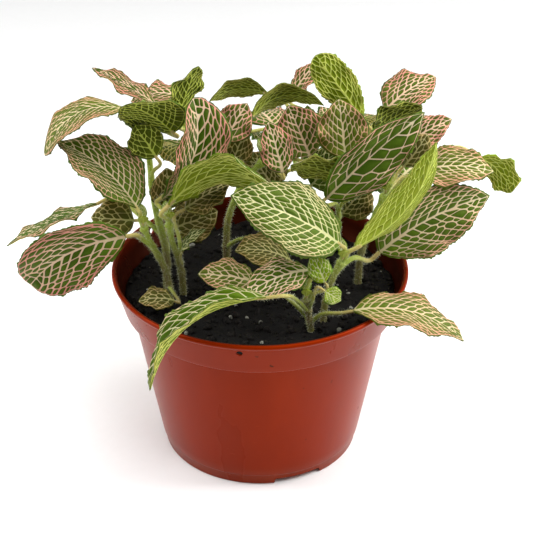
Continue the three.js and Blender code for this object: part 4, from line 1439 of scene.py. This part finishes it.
def pot_profile():
    """The wall of the pot in section, from the middle of its underside to its inner floor."""
    body_top = BAND_RADIUS - LEDGE
    band_top = RIM_RADIUS - 0.9
    foot = BODY_RADIUS - 1.6
    outside = [(0.0, 0.4), (11.0, 0.4), (11.6, 0.7), (12.4, 2.6), (13.0, 2.8), (foot - 5.8, 2.8),
               (foot - 5.2, 2.5), (foot - 4.8, 0.5), (foot - 4.4, 0.0), (foot, 0.0)]
    outside += arc(foot, 0.7, 0.7, -75, -5, 4)
    outside += [(foot + 0.95, 4.2), (foot + 1.3, 4.75), (foot + 1.8, 5.05)]
    outside += line((foot + 1.95, BODY_LOW), (body_top, BODY_HIGH), 14)
    outside += [(body_top + 0.12, 64.5), (body_top + 0.5, 64.9), (BAND_RADIUS - 1.3, 65.05)]
    outside += arc(BAND_RADIUS - 0.85, 66.1, 1.05, -75, -12, 5)
    outside += line((BAND_RADIUS + 0.3, 66.3), (band_top, BAND_HIGH), 5)[1:]
    outside += [(band_top + 0.35, BAND_HIGH + 0.25)]
    outside += arc(RIM_RADIUS - LIP_ROUND, LIP_Z, LIP_ROUND, -40, 150, 12)
    inside = [(RIM_RADIUS - 2.2, 78.9), (band_top - WALL, 77.0)]
    inside += [(BAND_RADIUS - WALL + 0.1, 67.3), (BAND_RADIUS - WALL - 0.4, 66.8)]
    inside += [(body_top - WALL + 0.2, 66.4), (body_top - WALL, 65.9)]
    inside += [(BODY_RADIUS - WALL + 0.2, 5.5), (BODY_RADIUS - WALL - 1, 4.0), (0.0, 4.0)]
    return outside + inside


def pot_body(material):
    """The pot turned from its section, with its drain holes, foot notches and tie holes cut."""
    sides = POT_SIDES
    work = bmesh.new()
    rings = []
    for radius, z in pot_profile():
        if radius < 1e-6:
            rings.append([work.verts.new((0, 0, z * MM))])
            continue
        ring = [(radius * x * MM, radius * y * MM, z * MM) for x, y in circle(sides)]
        rings.append([work.verts.new(point) for point in ring])
    for low, high in zip(rings, rings[1:]):
        for k in range(sides):
            n = (k + 1) % sides
            if len(low) == 1:
                work.faces.new((low[0], high[n], high[k]))
            elif len(high) == 1:
                work.faces.new((low[k], low[n], high[0]))
            else:
                work.faces.new((low[k], low[n], high[n], high[k]))
    bmesh.ops.recalc_face_normals(work, faces=work.faces)
    pot = put("pot_body", worked("pot_body", work))
    cutter = put("pot_cutter", cutter_mesh())
    cut = pot.modifiers.new("holes", "BOOLEAN")
    cut.operation = "DIFFERENCE"
    cut.solver = "EXACT"
    cut.object = cutter
    pot.data = made_plain(pot, cut, "pot_body", material)
    bpy.data.objects.remove(cutter)
    soften(pot.data, SHARP_DEGREES)
    return pot


def worked(name, work):
    """The mesh of a finished piece of work."""
    mesh = bpy.data.meshes.new(name)
    work.to_mesh(mesh)
    work.free()
    return mesh


def soften(mesh, degrees):
    """Smooth shading, with edges sharper than this kept crisp."""
    work = bmesh.new()
    work.from_mesh(mesh)
    for face in work.faces:
        face.smooth = True
    for edge in work.edges:
        edge.smooth = len(edge.link_faces) == 2 and edge.calc_face_angle(0) < math.radians(degrees)
    work.to_mesh(mesh)
    work.free()


def headings(turns):
    """The cosine and the sine of angles in degrees."""
    return [(math.cos(math.radians(turn)), math.sin(math.radians(turn))) for turn in turns]


def cutter_mesh():
    """The drain holes, the notches in the foot and the small tie holes under the lip."""
    work = bmesh.new()

    def rod(centre, direction, radius, depth, segments):
        turn = Vector(direction).to_track_quat("Z", "Y").to_matrix().to_4x4()
        turn.translation = Vector(centre) * MM
        bmesh.ops.create_cone(work, cap_ends=True, segments=segments, radius1=radius * MM,
                              radius2=radius * MM, depth=depth * MM, matrix=turn)

    for x, y in headings(DRAIN_TURNS):
        rod((DRAIN_REACH * x, DRAIN_REACH * y, 3.2), (0, 0, 1), DRAIN_RADIUS, 6, 28)
    for x, y in headings(TIE_TURNS):
        rod((TIE_REACH * x, TIE_REACH * y, TIE_Z), (x, y, 0), TIE_RADIUS, 8, 20)
    for x, y in headings(NOTCH_TURNS):
        for vert in bmesh.ops.create_cube(work, size=1.0)["verts"]:
            out, side, z = (way * size for way, size in zip(vert.co, NOTCH_SIZE))
            side *= 1 - NOTCH_TAPER * (z > 0)
            out += NOTCH_REACH
            vert.co = Vector((out * x - side * y, out * y + side * x, z)) * MM
    return worked("pot_cutter", work)


# ---------------------------------------------------------------- build

def settle(piece, slot, *nodes):
    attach(piece, "root")
    if nodes:
        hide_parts(*nodes)


def young_pair(top, first):
    """Two small leaves standing at the top of a stem, across its first leaf."""
    top = np.array(top, float)
    way = unit(np.array(first["tip"], float) - np.array(first["base"], float))
    across = unit(np.cross(way, (0, 0, 1)))
    pair = []
    for side in (1, -1):
        base = top + across * side * YOUNG_FROM[0] + np.array((0, 0, YOUNG_FROM[1]))
        tip = base + across * side * YOUNG_GO[0] + np.array((0, 0, YOUNG_GO[1]))
        facing = (0, 0, 0.5) - across * side * 0.8
        pair.append(leaf(LAST_LEAF_AT, tuple(base), tuple(tip), tuple(facing), YOUNG_WIDTH,
                         "young", fold=24, wave=0.3, pairs=4))
    return pair


def build_plant():
    top_stops = [(0.0, rgb(20, 35, 5)), (0.25, rgb(40, 64, 8)), (0.5, rgb(62, 93, 10)),
                 (0.75, rgb(91, 122, 14)), (1.0, rgb(142, 160, 32))]
    under_stops = [(0.0, rgb(44, 56, 6)), (0.3, rgb(74, 90, 9)), (0.6, rgb(104, 120, 15)),
                   (0.85, rgb(136, 150, 38)), (1.0, rgb(164, 176, 84))]
    finishes = [
        leaf_skin("leaf_skin", top_stops, brown_tone=rgb(104, 84, 44),
                  edge_tone=rgb(74, 104, 44), gloss=0.44, light_through=0.22),
        leaf_vein("leaf_vein", cream=rgb(216, 206, 170), rose=rgb(202, 130, 120),
                  green=rgb(132, 152, 54), gloss=0.5, light_through=0.2),
        leaf_skin("leaf_under_skin", under_stops, brown_tone=rgb(112, 98, 52),
                  edge_tone=rgb(120, 136, 70), gloss=0.55, light_through=0.3),
        leaf_vein("leaf_under_vein", cream=rgb(200, 208, 104), rose=rgb(200, 160, 96),
                  green=rgb(162, 178, 62), gloss=0.55, light_through=0.25),
    ]
    stalk, hair = stalk_finish(), hair_finish()
    for number, (name, path) in enumerate(STEM_PATHS.items()):
        sheet, stalks = Sheet(), Stalks()
        rows = STEM_LEAVES[name] + young_pair(path[-1], STEM_LEAVES[name][0])
        blades = [Blade(row, number * 7 + place) for place, row in enumerate(rows)]
        for blade in blades:
            sheet.grow(blade, random.Random(blade.seed * 31 + 5))
        stalks.grow(path, blades)
        leaves = sheet.make(f"leaves_{name}", finishes)
        stems = stalks.make(f"stalks_{name}", stalk)
        hairs = hair_tree(hair, number + 1).bake(stems, f"hairs_{name}", hair)
        settle(leaves, "foliage", f"leafy_stem_{name}")
        settle(stems, "foliage", f"leafy_stem_{name}")
        settle(hairs, "foliage")


def build_soil():
    peat = soil_finish("peat", rgb(3, 3, 3), rgb(15, 12, 10), 0.6)
    crumb = soil_finish("peat_crumb", rgb(5, 4, 4), rgb(24, 19, 15), 0.55)
    perlite = perlite_finish()
    body = soil_body(peat)
    patch = soil_patch()
    tree = crumb_tree("crumbs", crumb, crowd=1.5e5, low=0.00035, high=0.0021, seed=4,
                      rough=0.0011)
    crumbs = tree.bake(patch, "soil_crumbs", crumb)
    tree = crumb_tree("grains", perlite, crowd=5.0e3, low=0.0005, high=0.0017, seed=9,
                      rough=0.0008)
    grains = tree.bake(patch, "perlite_grains", perlite)
    bpy.data.objects.remove(patch)
    settle(body, "soil", "soil")
    settle(crumbs, "soil")
    settle(grains, "soil")


def build_pot():
    settle(pot_body(pot_finish()), "pot_plastic", "pot")


# ---------------------------------------------------------------- floor, light and camera

PLANT_CENTRE = (0, 0, 0.08)
# Each light's place, what it is turned to, its size and its power.
LIGHTS = {
    "overhead": ((-0.25, 0.3, 1.9), PLANT_CENTRE, (1.5, 1.5), 11),
    "front_key": ((0.45, -0.8, 1.5), PLANT_CENTRE, (0.8, 0.8), 8),
    "left_box": ((-0.85, -0.15, 0.38), PLANT_CENTRE, (0.5, 0.8), 1.2),
    "left_table": ((-0.40, 0.0, 0.34), (-0.34, 0.0, 0), (0.25, 0.5), 2.0),
    "right_table": ((0.40, 0.0, 0.34), (0.34, 0.0, 0), (0.25, 0.5), 2.9),
    "right_box": ((0.80, 0.05, 0.30), PLANT_CENTRE, (0.5, 0.8), 3.5),
}
WORLD_STRENGTH = 0.22
FLOOR_REACH = 6
CAMERA_AIM = (2.6, 0, 79.5)
CAMERA_DISTANCE = 0.75
CAMERA_RISE_DEGREES = 31
LENS, SENSOR = 125.2, 36.0


def set_stage():
    reach = FLOOR_REACH
    mesh = bpy.data.meshes.new("floor")
    corners = [(-reach, -reach, 0), (reach, -reach, 0), (reach, reach, 0), (-reach, reach, 0)]
    mesh.from_pydata(corners, [], [(0, 1, 2, 3)])
    mesh.materials.append(floor_finish())
    put("floor", mesh)
    world = bpy.data.worlds.new("studio")
    world.use_nodes = True
    sky = world.node_tree.nodes["Background"].inputs
    sky["Color"].default_value = (1.0, 1.0, 1.0, 1)
    sky["Strength"].default_value = WORLD_STRENGTH
    bpy.context.scene.world = world
    for name, (place, aim, size, power) in LIGHTS.items():
        light = bpy.data.lights.new(name, "AREA")
        light.shape = "RECTANGLE"
        light.size, light.size_y = size
        light.energy = power
        lamp = put(name, light)
        lamp.location = place
        lamp.rotation_euler = (Vector(aim) - Vector(place)).to_track_quat("-Z", "Y").to_euler()


def set_camera():
    """Looks down on the plant from in front."""
    rise = math.radians(CAMERA_RISE_DEGREES)
    back = Vector((0, -math.cos(rise), math.sin(rise)))
    lens = bpy.data.cameras.new("camera")
    lens.sensor_width = SENSOR
    lens.lens = LENS
    camera = put("camera", lens)
    camera.location = Vector(CAMERA_AIM) * MM + back * CAMERA_DISTANCE
    camera.rotation_euler = (math.pi / 2 - rise, 0, 0)
    bpy.context.scene.camera = camera
    bpy.context.scene.view_settings.view_transform = "Standard"


build_pot()
build_soil()
build_plant()
set_stage()
set_camera()
